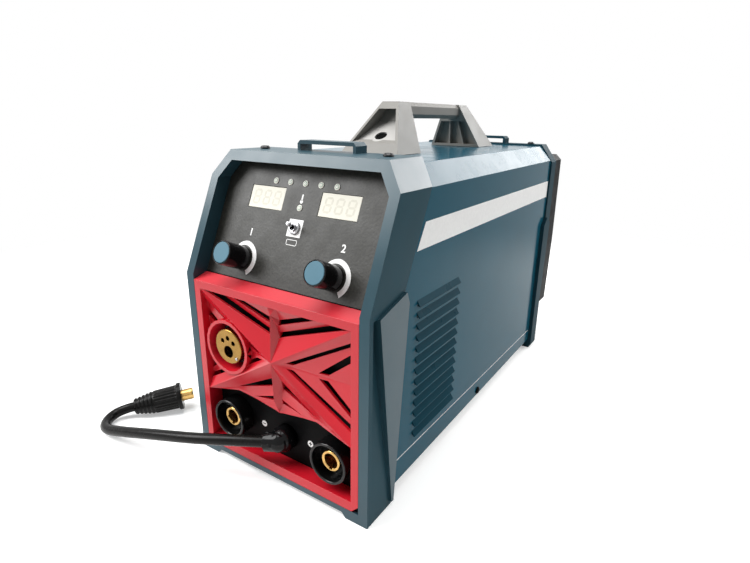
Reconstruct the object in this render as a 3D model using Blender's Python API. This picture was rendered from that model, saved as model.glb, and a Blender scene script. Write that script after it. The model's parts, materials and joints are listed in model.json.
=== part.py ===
"""Portable MIG and stick inverter welder, modelled piece by piece.

Metres, +Z up, +X to the right of someone facing the front, front towards -Y.
Places count y back from the front rim and z up from the floor. At the end the empty
named machine shifts everything, so that the origin lies under the middle of the body.
"""
from math import cos, hypot, pi, radians, sin, tan

import bmesh
import bpy
from mathutils import Euler, Matrix, Vector
from mathutils.geometry import delaunay_2d_cdt

MM = 0.001

# Body
BODY_WIDTH = 200 * MM
BODY_HEIGHT = 290 * MM
COVER_END = 432 * MM
NOSE_HEIGHT = 183 * MM
PANEL_TILT = radians(23.9)
PANEL_RECESS = 15 * MM
RIM = 9 * MM
CORNER_X = 16 * MM
CORNER_Z = 22 * MM
SHEET = 1.5 * MM
COVER_STEP = 2 * MM
COVER_DROP = 5 * MM
COVER_BOTTOM = 13 * MM
COVER_CORNER_X = 15 * MM
COVER_CORNER_Z = 18 * MM
GAP = 0.3 * MM
TONGUE = 10 * MM

# Front frame
FRAME_TOP_DEPTH = 50 * MM
LEDGE_RISE = 8 * MM
LEDGE_DEPTH = 45.5 * MM
LEDGE_DROP = 10 * MM
SEAM_NOSE = 53 * MM
SEAM_FOOT = 37 * MM
CHEEK_RAISE = 2.5 * MM
CHEEK_FRONT = 10.5 * MM
CHEEK_TOP_DROP = 12.5 * MM
CHEEK_FOOT = 4 * MM
CHEEK_TOE = 34 * MM
SIDE_STRIP = 5 * MM
POCKET_DEPTH = 6 * MM
POCKET_FOOT = 28 * MM
POCKET_TOE = 29 * MM
FLOOR_WALL = 9.7 * MM
ARCH_RISE = 4.5 * MM
FOOT_WIDTH = 22 * MM
ARCH_SLOPE = 4 * MM

# Strap loops
LOOP_HALF = 32 * MM
LOOP_DEPTH = 16 * MM
LOOP_RISE = 9 * MM
LOOP_STRAP = 3.2 * MM
LOOP_CORNER = 3 * MM
LOOP_SETBACK = 31 * MM

# Top screws
SCREW_X = 67 * MM
SCREW_SETBACK = 26 * MM
SCREW_HEAD = 4.6 * MM
SCREW_HEAD_RISE = 2.8 * MM
SCREW_SHANK = 2 * MM
SCREW_LENGTH = 6.5 * MM

# Rear frame and guard
REAR_DEPTH = 20 * MM
REAR_DROP = 3 * MM
REAR_STEP = 11 * MM
REAR_SCREW_SETBACK = 7 * MM
REAR_LOOP_SETBACK = 2 * MM
REAR_PANEL_SET_IN = 8.5 * MM
GUARD_BOTTOM = 57 * MM
GUARD_TOP_DROP = 18 * MM
GUARD_APEX_HEIGHT = 148 * MM
GUARD_EDGE_DEPTH = 41 * MM
GUARD_APEX_DEPTH = 46 * MM
GUARD_INSET = 4 * MM
GUARD_WALL = 3 * MM
GUARD_CORNER = 7 * MM
GUARD_SLOT = 5 * MM
GUARD_PITCH = 10 * MM
GUARD_SLOT_COUNT = 11
GUARD_SLOT_HALF = 52 * MM

# Control panel
PANEL_THICK = 2.2 * MM
KNOB_X = 50.5 * MM
KNOB_SLOPE = 18 * MM
KNOB_RADIUS = 10.5 * MM
KNOB_TIP = 25 * MM
KNOB_LIFT = 0.8 * MM
CAP_RADIUS = 9.2 * MM
CAP_SUNK = 1.6 * MM
BUSH_RADIUS = 3.6 * MM
BUSH_RISE = 6 * MM
SPINDLE_RADIUS = 2.6 * MM
SPINDLE_TIP = 17 * MM
POT_RADIUS = 8.5 * MM
POT_DEPTH = 11 * MM
METER_X = 39.6 * MM
METER_SLOPE = 74.7 * MM
METER_WIDTH = 39.8 * MM
METER_TALL = 20.6 * MM
METER_THICK = 1.8 * MM
LAMP_PITCH = 16.6 * MM
LAMP_SLOPE = 90.2 * MM
LAMP_RADIUS = 1.9 * MM
LAMP_RISE = 0.9 * MM
OVERHEAT_SLOPE = 69 * MM
BOARD_BEHIND = 10.5 * MM
BOARD_THICK = 1.6 * MM
BOARD_MARGIN = 4.5 * MM
TOGGLE_SLOPE = 51.7 * MM
TOGGLE_BUSH = 3 * MM
TOGGLE_NUT = 5.2 * MM
TOGGLE_RISE = 4 * MM
TOGGLE_BODY = 6.5 * MM
TOGGLE_BODY_DEPTH = 14 * MM
LEVER_TIP = 10 * MM
LEVER_RADIUS = 1.5 * MM
LEVER_BALL = 2.3 * MM
LEVER_PIVOT = 1 * MM
LEVER_REST = radians(-10)

# Red front grille
BEZEL_DROP = 5 * MM
BEZEL_RISE = 4.2 * MM
BEZEL_BORDER = 7.2 * MM
BEZEL_FOOT_BORDER = 9 * MM
BEZEL_FOOT_CUT = 6.5 * MM
GRILLE_WALL = 0.5 * MM
GRILLE_SHELL = 2.6 * MM
BAY_TOP = 70.7 * MM
FIN_HALF = 5 * MM
FIN_TOP = 0.14
FIN_FOOT = 0.29
FIN_DEPTH = 2 * MM
TOP_STEPS = (0.237, 0.327, 0.466, 0.556)
TOP_RUNS = (45 * MM, 33 * MM, 15 * MM, 3 * MM)
SIDE_STEPS = (0.2, 0.277, 0.388, 0.528)
SIDE_RUNS = (14 * MM, 21 * MM, 47 * MM, 56 * MM)
SPINE_HALF = 2.4 * MM
LOW_STEPS = (0.22, 0.32, 0.5, 0.672)
LOW_NOTCH_X = 46 * MM
LOW_NOTCH_RISE = 7.5 * MM
LOW_POINT_DROP = 2 * MM
LOW_SLOT_TIP = 4 * MM
LOW_SLOT_X = 29 * MM
EURO_X = -54 * MM
EURO_RING = 26 * MM
EURO_RING_WALL = 3 * MM
EURO_RING_TAPER = 3.5 * MM

# Sockets
SOCKET_PLATE = 2 * MM
EURO_RADIUS = 16.5 * MM
EURO_FACE = 1.8 * MM
EURO_BODY_END = 34 * MM
EURO_TAIL_RADIUS = 8 * MM
EURO_BORE = 5.8 * MM
EURO_BORE_DROP = 5 * MM
EURO_BORE_DEPTH = 26 * MM
EURO_CONTACT = 2.3 * MM
EURO_CONTACT_RING = 8.2 * MM
EURO_CONTACT_ANGLE = radians(56)
EURO_CONTACT_DEPTH = 9 * MM
EURO_FLANGE = 25 * MM
EURO_FLANGE_THICK = 5 * MM
EURO_SLEEVE = 18.6 * MM
EURO_SLEEVE_FRONT = 11 * MM
DINSE_X = 59 * MM
DINSE_HEIGHT = 45 * MM
DINSE_RADIUS = 19 * MM
DINSE_WALL = 2.6 * MM
DINSE_CUP = 12 * MM
DINSE_NECK = 14 * MM
DINSE_NECK_END = 30 * MM
DINSE_BRASS = 9.6 * MM
DINSE_BRASS_FACE = 5 * MM
DINSE_BRASS_END = 42 * MM
DINSE_BORE = 6.7 * MM
DINSE_BORE_DEPTH = 26 * MM
DINSE_KEY = 3.2 * MM
DINSE_KEY_REACH = 8.2 * MM

# Cable gland, cable and plug
GLAND_X = 3 * MM
GLAND_HEIGHT = 43 * MM
GLAND_RADIUS = 12 * MM
GLAND_ELBOW_DEPTH = 2 * MM
GLAND_ELBOW = 9.4 * MM
GLAND_NUT = 8.6 * MM
GLAND_NUT_END = 13 * MM
GLAND_HEADING = Vector((-0.91, -0.405, -0.085)).normalized()
CABLE_RADIUS = 5.25 * MM
CABLE_STEP = 24 * MM
CABLE_SIDES = 2
PLUG_HEADING = Vector((0.60, 0.795, 0.10)).normalized()
PLUG_TAIL = 7.6 * MM
PLUG_GRIP = 12 * MM
PLUG_RING = 15.2 * MM
PLUG_BOOT_LENGTH = 22 * MM
PLUG_LENGTH = 50 * MM
PLUG_RING_LENGTH = 4.5 * MM
PLUG_RIBS = 4
PLUG_FLUTES = 8
PLUG_REST = PLUG_RING - (PLUG_LENGTH - PLUG_RING_LENGTH) * PLUG_HEADING.z + GAP
PLUG_START = Vector((-204.5 * MM, -8 * MM, PLUG_REST))
PIN_RADIUS = 6.4 * MM
PIN_REACH = 12 * MM
PIN_SEAT = 12 * MM

# Carry handle
HANDLE_HALF = 121 * MM
HANDLE_LEG = 46 * MM
HANDLE_LEG_TOP = 23 * MM
HANDLE_LEAN = 16 * MM
HANDLE_RISE = 49 * MM
HANDLE_BASE_HALF = 33 * MM
HANDLE_TOP_HALF = 9.5 * MM
HANDLE_GRIP = 16 * MM
HANDLE_WALL = 3 * MM
HANDLE_ROOF = 7 * MM
HANDLE_FLOOR = 20 * MM
HANDLE_WEB = 12 * MM
HANDLE_HOLE = 6.5 * MM
HANDLE_BACK_RECESS = 9 * MM
HANDLE_BAYS = 3
HANDLE_HOLE_PLACE = 0.6
HANDLE_RIB = 2.4 * MM

# Louvres on the right side
LOUVRE_COUNT = 13
LOUVRE_TOP = 175 * MM
LOUVRE_PITCH = 10.4 * MM
LOUVRE_SETBACK = 22 * MM
LOUVRE_LENGTH = 79 * MM
LOUVRE_SLOT = 4.4 * MM
LOUVRE_HOOD = 3.4 * MM
LOUVRE_HOOD_THICK = 1.1 * MM

# Side door
DOOR_SETBACK = 20 * MM
DOOR_REAR_STRIP = 11 * MM
DOOR_FOOT = 32 * MM
DOOR_TOP_DROP = 33 * MM
DOOR_GAP = 1 * MM
DOOR_LIP = 7 * MM
HINGE_OUT = 1.4 * MM
KNUCKLE = 2.6 * MM
KNUCKLE_LENGTH = 12 * MM
HINGE_PIN = 1.2 * MM
HINGE_LEAF = 1.2 * MM
HINGE_INSET = 28 * MM
LATCH_SETBACK = 13 * MM
LATCH_RADIUS = 11 * MM
LATCH_RISE = 3.4 * MM
LATCH_GROOVE = 3 * MM
LATCH_SHAFT = 3.4 * MM
LATCH_CAM = 22 * MM
LATCH_CAM_HALF = 4 * MM
LATCH_CAM_THICK = 2 * MM
LATCH_CAM_DEPTH = 3 * MM

# Base and bulkhead
TRAY_FLANGE = 18 * MM
TRAY_TAB_MARGIN = 4 * MM
BULKHEAD_X = -30 * MM
BULKHEAD_FRONT = 66 * MM
BULKHEAD_LOW_TOP = 175 * MM
BULKHEAD_FLANGE = 14 * MM

# Wire feeder and spool hub
FEEDER_THICK = 11 * MM
FEEDER_FRONT = 80 * MM
FEEDER_LENGTH = 86 * MM
FEEDER_BELOW = 37 * MM
FEEDER_ABOVE = 20 * MM
FEEDER_LUG = 10 * MM
FEEDER_LUG_HALF = 15 * MM
WIRE_BORE = 2 * MM
ROLL_Y = 125 * MM
ROLL_RADIUS = 15.6 * MM
ROLL_HALF = 6 * MM
ROLL_GROOVE = 0.8 * MM
WIRE_ROOM = 0.5 * MM
ROLL_SHAFT = 4 * MM
IDLER_RADIUS = 11 * MM
IDLER_PIN = 3 * MM
ARM_PIVOT_Y = 100 * MM
ARM_PIVOT_ABOVE = 14 * MM
ARM_PIVOT_PIN = 3 * MM
ARM_THICK = 5 * MM
ARM_EYE = 7 * MM
ARM_REAR_Y = 146 * MM
ARM_HEAD = 7 * MM
TENSION_RADIUS = 8 * MM
TENSION_TALL = 15 * MM
TENSION_SCREW = 2.4 * MM
STOP_THICK = 5 * MM
MOTOR_GEAR = 24 * MM
MOTOR_GEAR_HALF = 21 * MM
MOTOR_CAN = 19 * MM
MOTOR_CAN_LENGTH = 55 * MM
MOTOR_SOCKET = 12 * MM
HUB_Y = 275 * MM
HUB_HEIGHT = 150 * MM
HUB_RADIUS = 25 * MM
HUB_FLANGE = 33 * MM
HUB_FLANGE_THICK = 3 * MM
HUB_LENGTH = 46 * MM
AXLE_RADIUS = 8 * MM
AXLE_FLANGE = 20 * MM
AXLE_FLANGE_THICK = 3 * MM
AXLE_HEAD = 11.5 * MM
AXLE_HEAD_THICK = 3.5 * MM

# Power side
SINK_X = 8 * MM
SINK_WIDTH = 82 * MM
SINK_FRONT = 195 * MM
SINK_LENGTH = 140 * MM
SINK_BASE = 6 * MM
SINK_TALL = 46 * MM
SINK_FINS = 9
SINK_FIN = 2.6 * MM
PCB_MARGIN = 5 * MM
PCB_THICK = 1.8 * MM
PCB_POST = 3.5 * MM
PCB_POST_TALL = 8 * MM
CAPACITOR_RADIUS = 13 * MM
CAPACITOR_TALL = 38 * MM
CAPACITOR_COUNT = 3
CORE_X = 18 * MM
CORE_WIDTH = 66 * MM
CORE_FRONT = 96 * MM
CORE_LENGTH = 68 * MM
CORE_ROOM = 4 * MM
CORE_LIMB = 15 * MM
COIL_SWELL = 9 * MM

# Rear fittings
FAN_X = 22 * MM
FAN_HEIGHT = 160 * MM
FAN_HALF = 59.5 * MM
FAN_DEPTH = 25 * MM
FAN_BORE = 56 * MM
FAN_HUB = 20 * MM
FAN_BLADES = 7
FAN_BLADE_CLEAR = 3 * MM
FAN_BLADE_THICK = 1.6 * MM
FAN_PITCH_ROOT = radians(38)
FAN_PITCH_TIP = radians(24)
FAN_BLADE_SPAN = radians(36)
FAN_STRUT = 6 * MM
FAN_STRUT_DEPTH = 3.5 * MM
FAN_AXLE = 2.5 * MM
SWITCH_X = 52 * MM
REAR_ROW_HEIGHT = 35 * MM
SWITCH_HALF_X = 10.5 * MM
SWITCH_HALF_Z = 14 * MM
SWITCH_BEZEL = 2.5 * MM
SWITCH_BEZEL_RISE = 2.2 * MM
SWITCH_BODY = 22 * MM
SWITCH_WELL = 9 * MM
ROCKER_CLEAR = 1.2 * MM
ROCKER_RISE = 5.2 * MM
ROCKER_REST = radians(-9)
MAINS_X = 0
MAINS_RADIUS = 11 * MM
MAINS_BORE = 5.5 * MM
MAINS_REACH = 24 * MM
MAINS_NECK = 8.5 * MM
GAS_X = -52 * MM
GAS_HEX = 8 * MM
GAS_HEX_LENGTH = 7 * MM
GAS_NECK = 5 * MM
GAS_BARB = 4.6 * MM
GAS_BORE = 2.2 * MM
GAS_REACH = 24 * MM

# Derived places
TILT = tan(PANEL_TILT)
HALF = BODY_WIDTH / 2
CAVITY = HALF - RIM
LEDGE_HEIGHT = NOSE_HEIGHT + LEDGE_RISE
BEZEL_TOP = NOSE_HEIGHT - BEZEL_DROP
STAR_TOP = BEZEL_TOP - BEZEL_BORDER - GRILLE_WALL
STAR_HEIGHT = (STAR_TOP + BAY_TOP) / 2
STAR_REACH = STAR_TOP - STAR_HEIGHT
SETBACK = (BODY_HEIGHT - NOSE_HEIGHT) * TILT
SEAM_TOP = SETBACK + FRAME_TOP_DEPTH
SEAM_LEDGE = (LEDGE_HEIGHT - NOSE_HEIGHT) * TILT + LEDGE_DEPTH
COVER_HALF = HALF - COVER_STEP
COVER_TOP = BODY_HEIGHT - COVER_DROP
INNER_HALF = COVER_HALF - SHEET
INNER_TOP = COVER_TOP - SHEET
REAR_LOW = COVER_END - REAR_STEP
REAR_FACE = COVER_END + REAR_DEPTH
REAR_TOP = BODY_HEIGHT - REAR_DROP
REAR_PANEL = REAR_FACE - REAR_PANEL_SET_IN
GUARD_TOP = BODY_HEIGHT - GUARD_TOP_DROP
TRAY_FLOOR = FLOOR_WALL + GAP
TRAY_TOP = TRAY_FLOOR + SHEET
PANEL_ROTATION = Euler((pi / 2 - PANEL_TILT, 0, 0))
SOCKET_FACE = PANEL_RECESS
SOCKET_BACK = SOCKET_FACE + SOCKET_PLATE
BEZEL_BACK = SOCKET_FACE - GAP
BEZEL_HALF = CAVITY - GAP
WIRE_HEIGHT = STAR_HEIGHT - EURO_BORE_DROP
DOOR_FRONT = SEAM_TOP + DOOR_SETBACK
DOOR_REAR = REAR_LOW - DOOR_REAR_STRIP
DOOR_TOP = COVER_TOP - DOOR_TOP_DROP
HINGE_X = -COVER_HALF - HINGE_OUT
FEEDER_FACE = BULKHEAD_X - SHEET - GAP - FEEDER_THICK
FAR = 1.0
ROUND = 24
SMALL = 12

for old in list(bpy.data.objects):
    bpy.data.objects.remove(old, do_unlink=True)

machine = bpy.data.objects.new("machine", None)
bpy.context.scene.collection.objects.link(machine)


def material(name, colour, roughness, metallic=0.0):
    """A Principled material with one colour."""
    made = bpy.data.materials.new(name)
    made.use_nodes = True
    shader = made.node_tree.nodes["Principled BSDF"]
    shader.inputs["Base Color"].default_value = (*colour, 1)
    shader.inputs["Roughness"].default_value = roughness
    shader.inputs["Metallic"].default_value = metallic
    return made


FRAME_BLUE = material("frame_plastic", (0.034, 0.075, 0.105), 0.5)
COVER_BLUE = material("cover_paint", (0.012, 0.048, 0.08), 0.25)
RED = material("red_plastic", (0.75, 0.017, 0.037), 0.35)
BLACK = material("black_plastic", (0.012, 0.012, 0.013), 0.45)
PANEL_BLACK = material("panel_black", (0.03, 0.03, 0.03), 0.6)
RUBBER = material("rubber", (0.015, 0.015, 0.015), 0.6)
GREY = material("handle_grey", (0.3, 0.29, 0.27), 0.5)
CAP_BLUE = material("cap_blue", (0.13, 0.28, 0.42), 0.45)
LENS = material("meter_lens", (0.8, 0.78, 0.7), 0.2)
BRASS = material("brass", (0.75, 0.5, 0.18), 0.25, 1.0)
STEEL = material("zinc_steel", (0.6, 0.6, 0.6), 0.35, 1.0)
ALUMINIUM = material("aluminium", (0.7, 0.7, 0.72), 0.4, 1.0)
BOARD_GREEN = material("board", (0.02, 0.16, 0.06), 0.5)
FERRITE = material("ferrite", (0.05, 0.05, 0.055), 0.7)
SCREW_BLACK = material("black_screw", (0.01, 0.01, 0.01), 0.35, 0.6)


def place(u, v, along, axis):
    """A point from two section coordinates and a place along an axis."""
    return {"X": (along, u, v), "Y": (u, along, v), "Z": (u, v, along)}[axis]


def loft(sections):
    """A closed solid through sections with equal point counts."""
    shape = bmesh.new()
    rings = [[shape.verts.new(point) for point in section] for section in sections]
    for near, far in zip(rings, rings[1:]):
        for i in range(len(near)):
            j = (i + 1) % len(near)
            shape.faces.new((near[i], near[j], far[j], far[i]))
    shape.faces.new(rings[0])
    shape.faces.new(list(reversed(rings[-1])))
    bmesh.ops.recalc_face_normals(shape, faces=shape.faces)
    return shape


def prism(outline, start, end, axis):
    """An outline pushed along an axis."""
    return loft([[place(u, v, along, axis) for u, v in outline] for along in (start, end)])


def box(low, high):
    """A box between two corners."""
    (x0, y0, z0), (x1, y1, z1) = low, high
    return prism([(x0, y0), (x1, y0), (x1, y1), (x0, y1)], z0, z1, "Z")


def circle(radius, count, centre=(0, 0), turn=0.0):
    """Points of a regular polygon."""
    steps = [turn + 2 * pi * i / count for i in range(count)]
    return [(centre[0] + radius * cos(a), centre[1] + radius * sin(a)) for a in steps]


def rod(radius, start, end, axis, centre=(0, 0), count=24, turn=0.0):
    """A round or regular bar along an axis."""
    return prism(circle(radius, count, centre, turn), start, end, axis)


def turned(profile, count=24, closed=False):
    """A profile of (radius, height) turned about Z. An open one starts and ends on the axis."""
    shape = bmesh.new()
    rings = []
    for radius, height in profile:
        if radius == 0:
            rings.append([shape.verts.new((0, 0, height))] * count)
        else:
            rings.append([shape.verts.new((u, v, height)) for u, v in circle(radius, count)])
    pairs = list(zip(rings, rings[1:]))
    if closed:
        pairs.append((rings[-1], rings[0]))
    for near, far in pairs:
        for i in range(count):
            j = (i + 1) % count
            corners = list(dict.fromkeys((near[i], near[j], far[j], far[i])))
            shape.faces.new(corners)
    bmesh.ops.recalc_face_normals(shape, faces=shape.faces)
    return shape


def shifted(shape, location=(0, 0, 0), rotation=None):
    """The same solid after a turn and a move."""
    matrix = Matrix.Translation(location)
    if rotation is not None:
        matrix = matrix @ rotation.to_matrix().to_4x4()
    bmesh.ops.transform(shape, matrix=matrix, verts=shape.verts)
    return shape


def mirrored(shape):
    """The same solid on the other side of the middle plane."""
    bmesh.ops.scale(shape, vec=(-1, 1, 1), verts=shape.verts)
    bmesh.ops.recalc_face_normals(shape, faces=shape.faces)
    return shape


def add(name, shape, finish, location=(0, 0, 0), rotation=None):
    """A named object made from a solid, placed under the machine empty."""
    mesh = bpy.data.meshes.new(name)
    shape.to_mesh(mesh)
    shape.free()
    mesh.materials.append(finish)
    piece = bpy.data.objects.new(name, mesh)
    bpy.context.scene.collection.objects.link(piece)
    piece.location = location
    if rotation is not None:
        piece.rotation_euler = rotation
    piece.parent = machine
    return piece


def combine(piece, shape, operation):
    """Applies one Boolean with a solid given in the piece's own coordinates."""
    tool = add("tool", shape, piece.data.materials[0], piece.location, piece.rotation_euler)
    step = piece.modifiers.new(operation.title(), "BOOLEAN")
    step.operation = operation
    step.solver = "EXACT"
    step.object = tool
    graph = bpy.context.evaluated_depsgraph_get()
    graph.update()
    old = piece.data
    made = bpy.data.meshes.new_from_object(piece.evaluated_get(graph))
    made.materials.clear()
    made.materials.append(old.materials[0])
    piece.modifiers.clear()
    piece.data = made
    made.name = piece.name
    tool_mesh = tool.data
    bpy.data.objects.remove(tool, do_unlink=True)
    bpy.data.meshes.remove(tool_mesh)
    bpy.data.meshes.remove(old)


def cut(piece, *shapes):
    """Takes solids away from a piece."""
    for shape in shapes:
        combine(piece, shape, "DIFFERENCE")


def fuse(piece, *shapes):
    """Joins solids to a piece."""
    for shape in shapes:
        combine(piece, shape, "UNION")


def keep(piece, *shapes):
    """Keeps only what lies inside solids."""
    for shape in shapes:
        combine(piece, shape, "INTERSECT")


def smooth(piece, angle=35):
    """Shades round faces smooth and keeps edges sharp."""
    piece.data.shade_smooth()
    piece.data.set_sharp_from_angle(angle=radians(angle))


def arch(half, bottom, top, corner_x, corner_z):
    """The outline of a body section with its two top corners cut off."""
    return [(half, bottom), (half, top - corner_z), (half - corner_x, top),
            (corner_x - half, top), (-half, top - corner_z), (-half, bottom)]


def inner_arch(half, bottom, top, corner_x, corner_z, wall, floor):
    """The outline that lies one wall inside an arch."""
    length = hypot(corner_x, corner_z)
    across = corner_z / length
    up = corner_x / length
    inner_x = corner_x - wall * (1 - (1 - up) / across)
    inner_z = corner_z - wall * (1 - (1 - across) / up)
    return arch(half - wall, floor, top - wall, inner_x, inner_z)


def on_panel(x, slope, off=0.0):
    """A place on the tilted panel: x, distance up the slope, distance off its face."""
    return Vector((x, PANEL_RECESS + slope * sin(PANEL_TILT) - off * cos(PANEL_TILT),
                   NOSE_HEIGHT + slope * cos(PANEL_TILT) + off * sin(PANEL_TILT)))


def seam_low(height):
    """How far back the lower front seam lies at a height."""
    return SEAM_FOOT + (SEAM_NOSE - SEAM_FOOT) * height / (LEDGE_HEIGHT - LEDGE_DROP)


def front_seam(shift):
    """The rear edge of the front frame, from top to foot, moved back by shift."""
    return [(SEAM_TOP + shift, BODY_HEIGHT), (SEAM_LEDGE + shift, LEDGE_HEIGHT),
            (SEAM_NOSE + shift, LEDGE_HEIGHT - LEDGE_DROP), (SEAM_FOOT + shift, 0)]


def rear_seam(shift):
    """The front edge of the rear frame, from foot to top, moved back by shift."""
    return [(REAR_LOW + shift, 0), (REAR_LOW + shift, LEDGE_HEIGHT - LEDGE_DROP),
            (COVER_END + shift, LEDGE_HEIGHT), (COVER_END + shift, BODY_HEIGHT)]


def strap_loop(top, front):
    """A flat strap that stands on a frame like a low gate."""
    inner = LOOP_HALF - LOOP_STRAP
    sunk = top - LOOP_STRAP
    outline = [(LOOP_HALF, sunk), (LOOP_HALF, top + LOOP_RISE - LOOP_CORNER),
               (LOOP_HALF - LOOP_CORNER, top + LOOP_RISE),
               (LOOP_CORNER - LOOP_HALF, top + LOOP_RISE),
               (-LOOP_HALF, top + LOOP_RISE - LOOP_CORNER), (-LOOP_HALF, sunk),
               (-inner, sunk), (-inner, top + LOOP_RISE - LOOP_STRAP),
               (inner, top + LOOP_RISE - LOOP_STRAP), (inner, sunk)]
    return prism(outline, front, front + LOOP_DEPTH, "Y")


def floor_arch():
    """The shallow arch between the two feet of a frame."""
    wide = HALF - FOOT_WIDTH
    outline = [(-wide, -ARCH_RISE), (wide, -ARCH_RISE), (wide, 0), (wide - ARCH_SLOPE, ARCH_RISE),
               (ARCH_SLOPE - wide, ARCH_RISE), (-wide, 0)]
    return prism(outline, -FAR, FAR, "Y")


def screw_hole(x, y, top):
    """Room for a screw in the top of a frame."""
    return rod(SCREW_SHANK + GAP, top - SCREW_LENGTH - GAP, top + SCREW_LENGTH, "Z", (x, y), 12)


def frame_body(name, side, tongue_side, top, drop):
    """A moulded collar with a tongue that the cover laps over and a through opening."""
    frame = add(name, prism(side, -HALF, HALF, "X"), FRAME_BLUE)
    keep(frame, prism(arch(HALF, 0, top, CORNER_X, CORNER_Z), -FAR, FAR, "Y"))
    tongue = add("tongue", prism(tongue_side, -HALF, HALF, "X"), FRAME_BLUE)
    lap = (INNER_HALF - GAP, COVER_BOTTOM, INNER_TOP - GAP, COVER_CORNER_X, COVER_CORNER_Z)
    keep(tongue, prism(arch(*lap), -FAR, FAR, "Y"))
    lap_shape = bmesh.new()
    lap_shape.from_mesh(tongue.data)
    bpy.data.objects.remove(tongue, do_unlink=True)
    fuse(frame, lap_shape)
    hole = inner_arch(HALF, 0, BODY_HEIGHT - drop, CORNER_X, CORNER_Z, RIM, FLOOR_WALL)
    cut(frame, prism(hole, -FAR, FAR, "Y"), floor_arch())
    return frame


def front_frame():
    """The front collar with its tilted rim, cheeks, side pockets and strap loop."""
    front = [(0, 0), (0, NOSE_HEIGHT), (SETBACK, BODY_HEIGHT)]
    tongue_front = [(y + RIM, z) for y, z in front]
    frame = frame_body("front_frame", front + front_seam(0), tongue_front + front_seam(TONGUE),
                       BODY_HEIGHT, 0)
    cheek_top = NOSE_HEIGHT - CHEEK_RAISE
    cheek = [(CHEEK_FRONT, cheek_top), (SEAM_LEDGE - GAP, LEDGE_HEIGHT),
             (SEAM_NOSE - GAP, LEDGE_HEIGHT - LEDGE_DROP), (seam_low(CHEEK_FOOT) - GAP, CHEEK_FOOT),
             (CHEEK_TOE, CHEEK_FOOT)]
    pocket_top = cheek_top - GAP
    inside = HALF - POCKET_DEPTH
    outside = HALF + POCKET_DEPTH
    pocket = [[(inside, SIDE_STRIP, pocket_top), (inside, CHEEK_FRONT, pocket_top),
               (outside, CHEEK_FRONT, pocket_top), (outside, SIDE_STRIP, pocket_top)],
              [(HALF, SIDE_STRIP, POCKET_FOOT), (HALF, POCKET_TOE, POCKET_FOOT),
               (outside, POCKET_TOE, POCKET_FOOT), (outside, SIDE_STRIP, POCKET_FOOT)]]
    sunk = HALF - COVER_STEP
    raised = HALF + CHEEK_RAISE
    fuse(frame, prism(cheek, sunk, raised, "X"), mirrored(prism(cheek, sunk, raised, "X")))
    cut(frame, loft(pocket), mirrored(loft(pocket)))
    fuse(frame, strap_loop(BODY_HEIGHT, SETBACK + LOOP_SETBACK))
    for side in (-1, 1):
        cut(frame, screw_hole(side * SCREW_X, SETBACK + SCREW_SETBACK, BODY_HEIGHT))


def rear_frame():
    """The rear collar with cheeks, feet and strap loop."""
    back = [(REAR_FACE, BODY_HEIGHT), (REAR_FACE, 0)]
    tongue_back = [(REAR_FACE - RIM, BODY_HEIGHT), (REAR_FACE - RIM, 0)]
    frame = frame_body("rear_frame", rear_seam(0) + back, rear_seam(-TONGUE) + tongue_back,
                       REAR_TOP, REAR_DROP)
    toe = REAR_FACE - SEAM_FOOT + CHEEK_TOE
    cheek = [(REAR_LOW, CHEEK_FOOT), (REAR_LOW, LEDGE_HEIGHT - LEDGE_DROP), (COVER_END, LEDGE_HEIGHT),
             (REAR_FACE - SIDE_STRIP, NOSE_HEIGHT), (toe - CHEEK_FRONT, CHEEK_FOOT)]
    sunk = HALF - COVER_STEP
    raised = HALF + CHEEK_RAISE
    fuse(frame, prism(cheek, sunk, raised, "X"), mirrored(prism(cheek, sunk, raised, "X")))
    fuse(frame, strap_loop(REAR_TOP, COVER_END + REAR_LOOP_SETBACK))
    for side in (-1, 1):
        cut(frame, screw_hole(side * SCREW_X, COVER_END + REAR_SCREW_SETBACK, REAR_TOP))


def top_screws():
    """Four button-head screws on the frames."""
    spots = {"front_screw": (SETBACK + SCREW_SETBACK, BODY_HEIGHT),
             "rear_screw": (COVER_END + REAR_SCREW_SETBACK, REAR_TOP)}
    profile = [(0, -SCREW_LENGTH), (SCREW_SHANK, -SCREW_LENGTH), (SCREW_SHANK, GAP), (SCREW_HEAD, GAP),
               (SCREW_HEAD, SCREW_HEAD_RISE / 2), (SCREW_HEAD * 0.7, SCREW_HEAD_RISE),
               (0, SCREW_HEAD_RISE)]
    for name, (y, top) in spots.items():
        for side, x in (("left", -SCREW_X), ("right", SCREW_X)):
            screw = add(f"{name}_{side}", turned(profile, SMALL), SCREW_BLACK, (x, y, top))
            smooth(screw)


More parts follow.
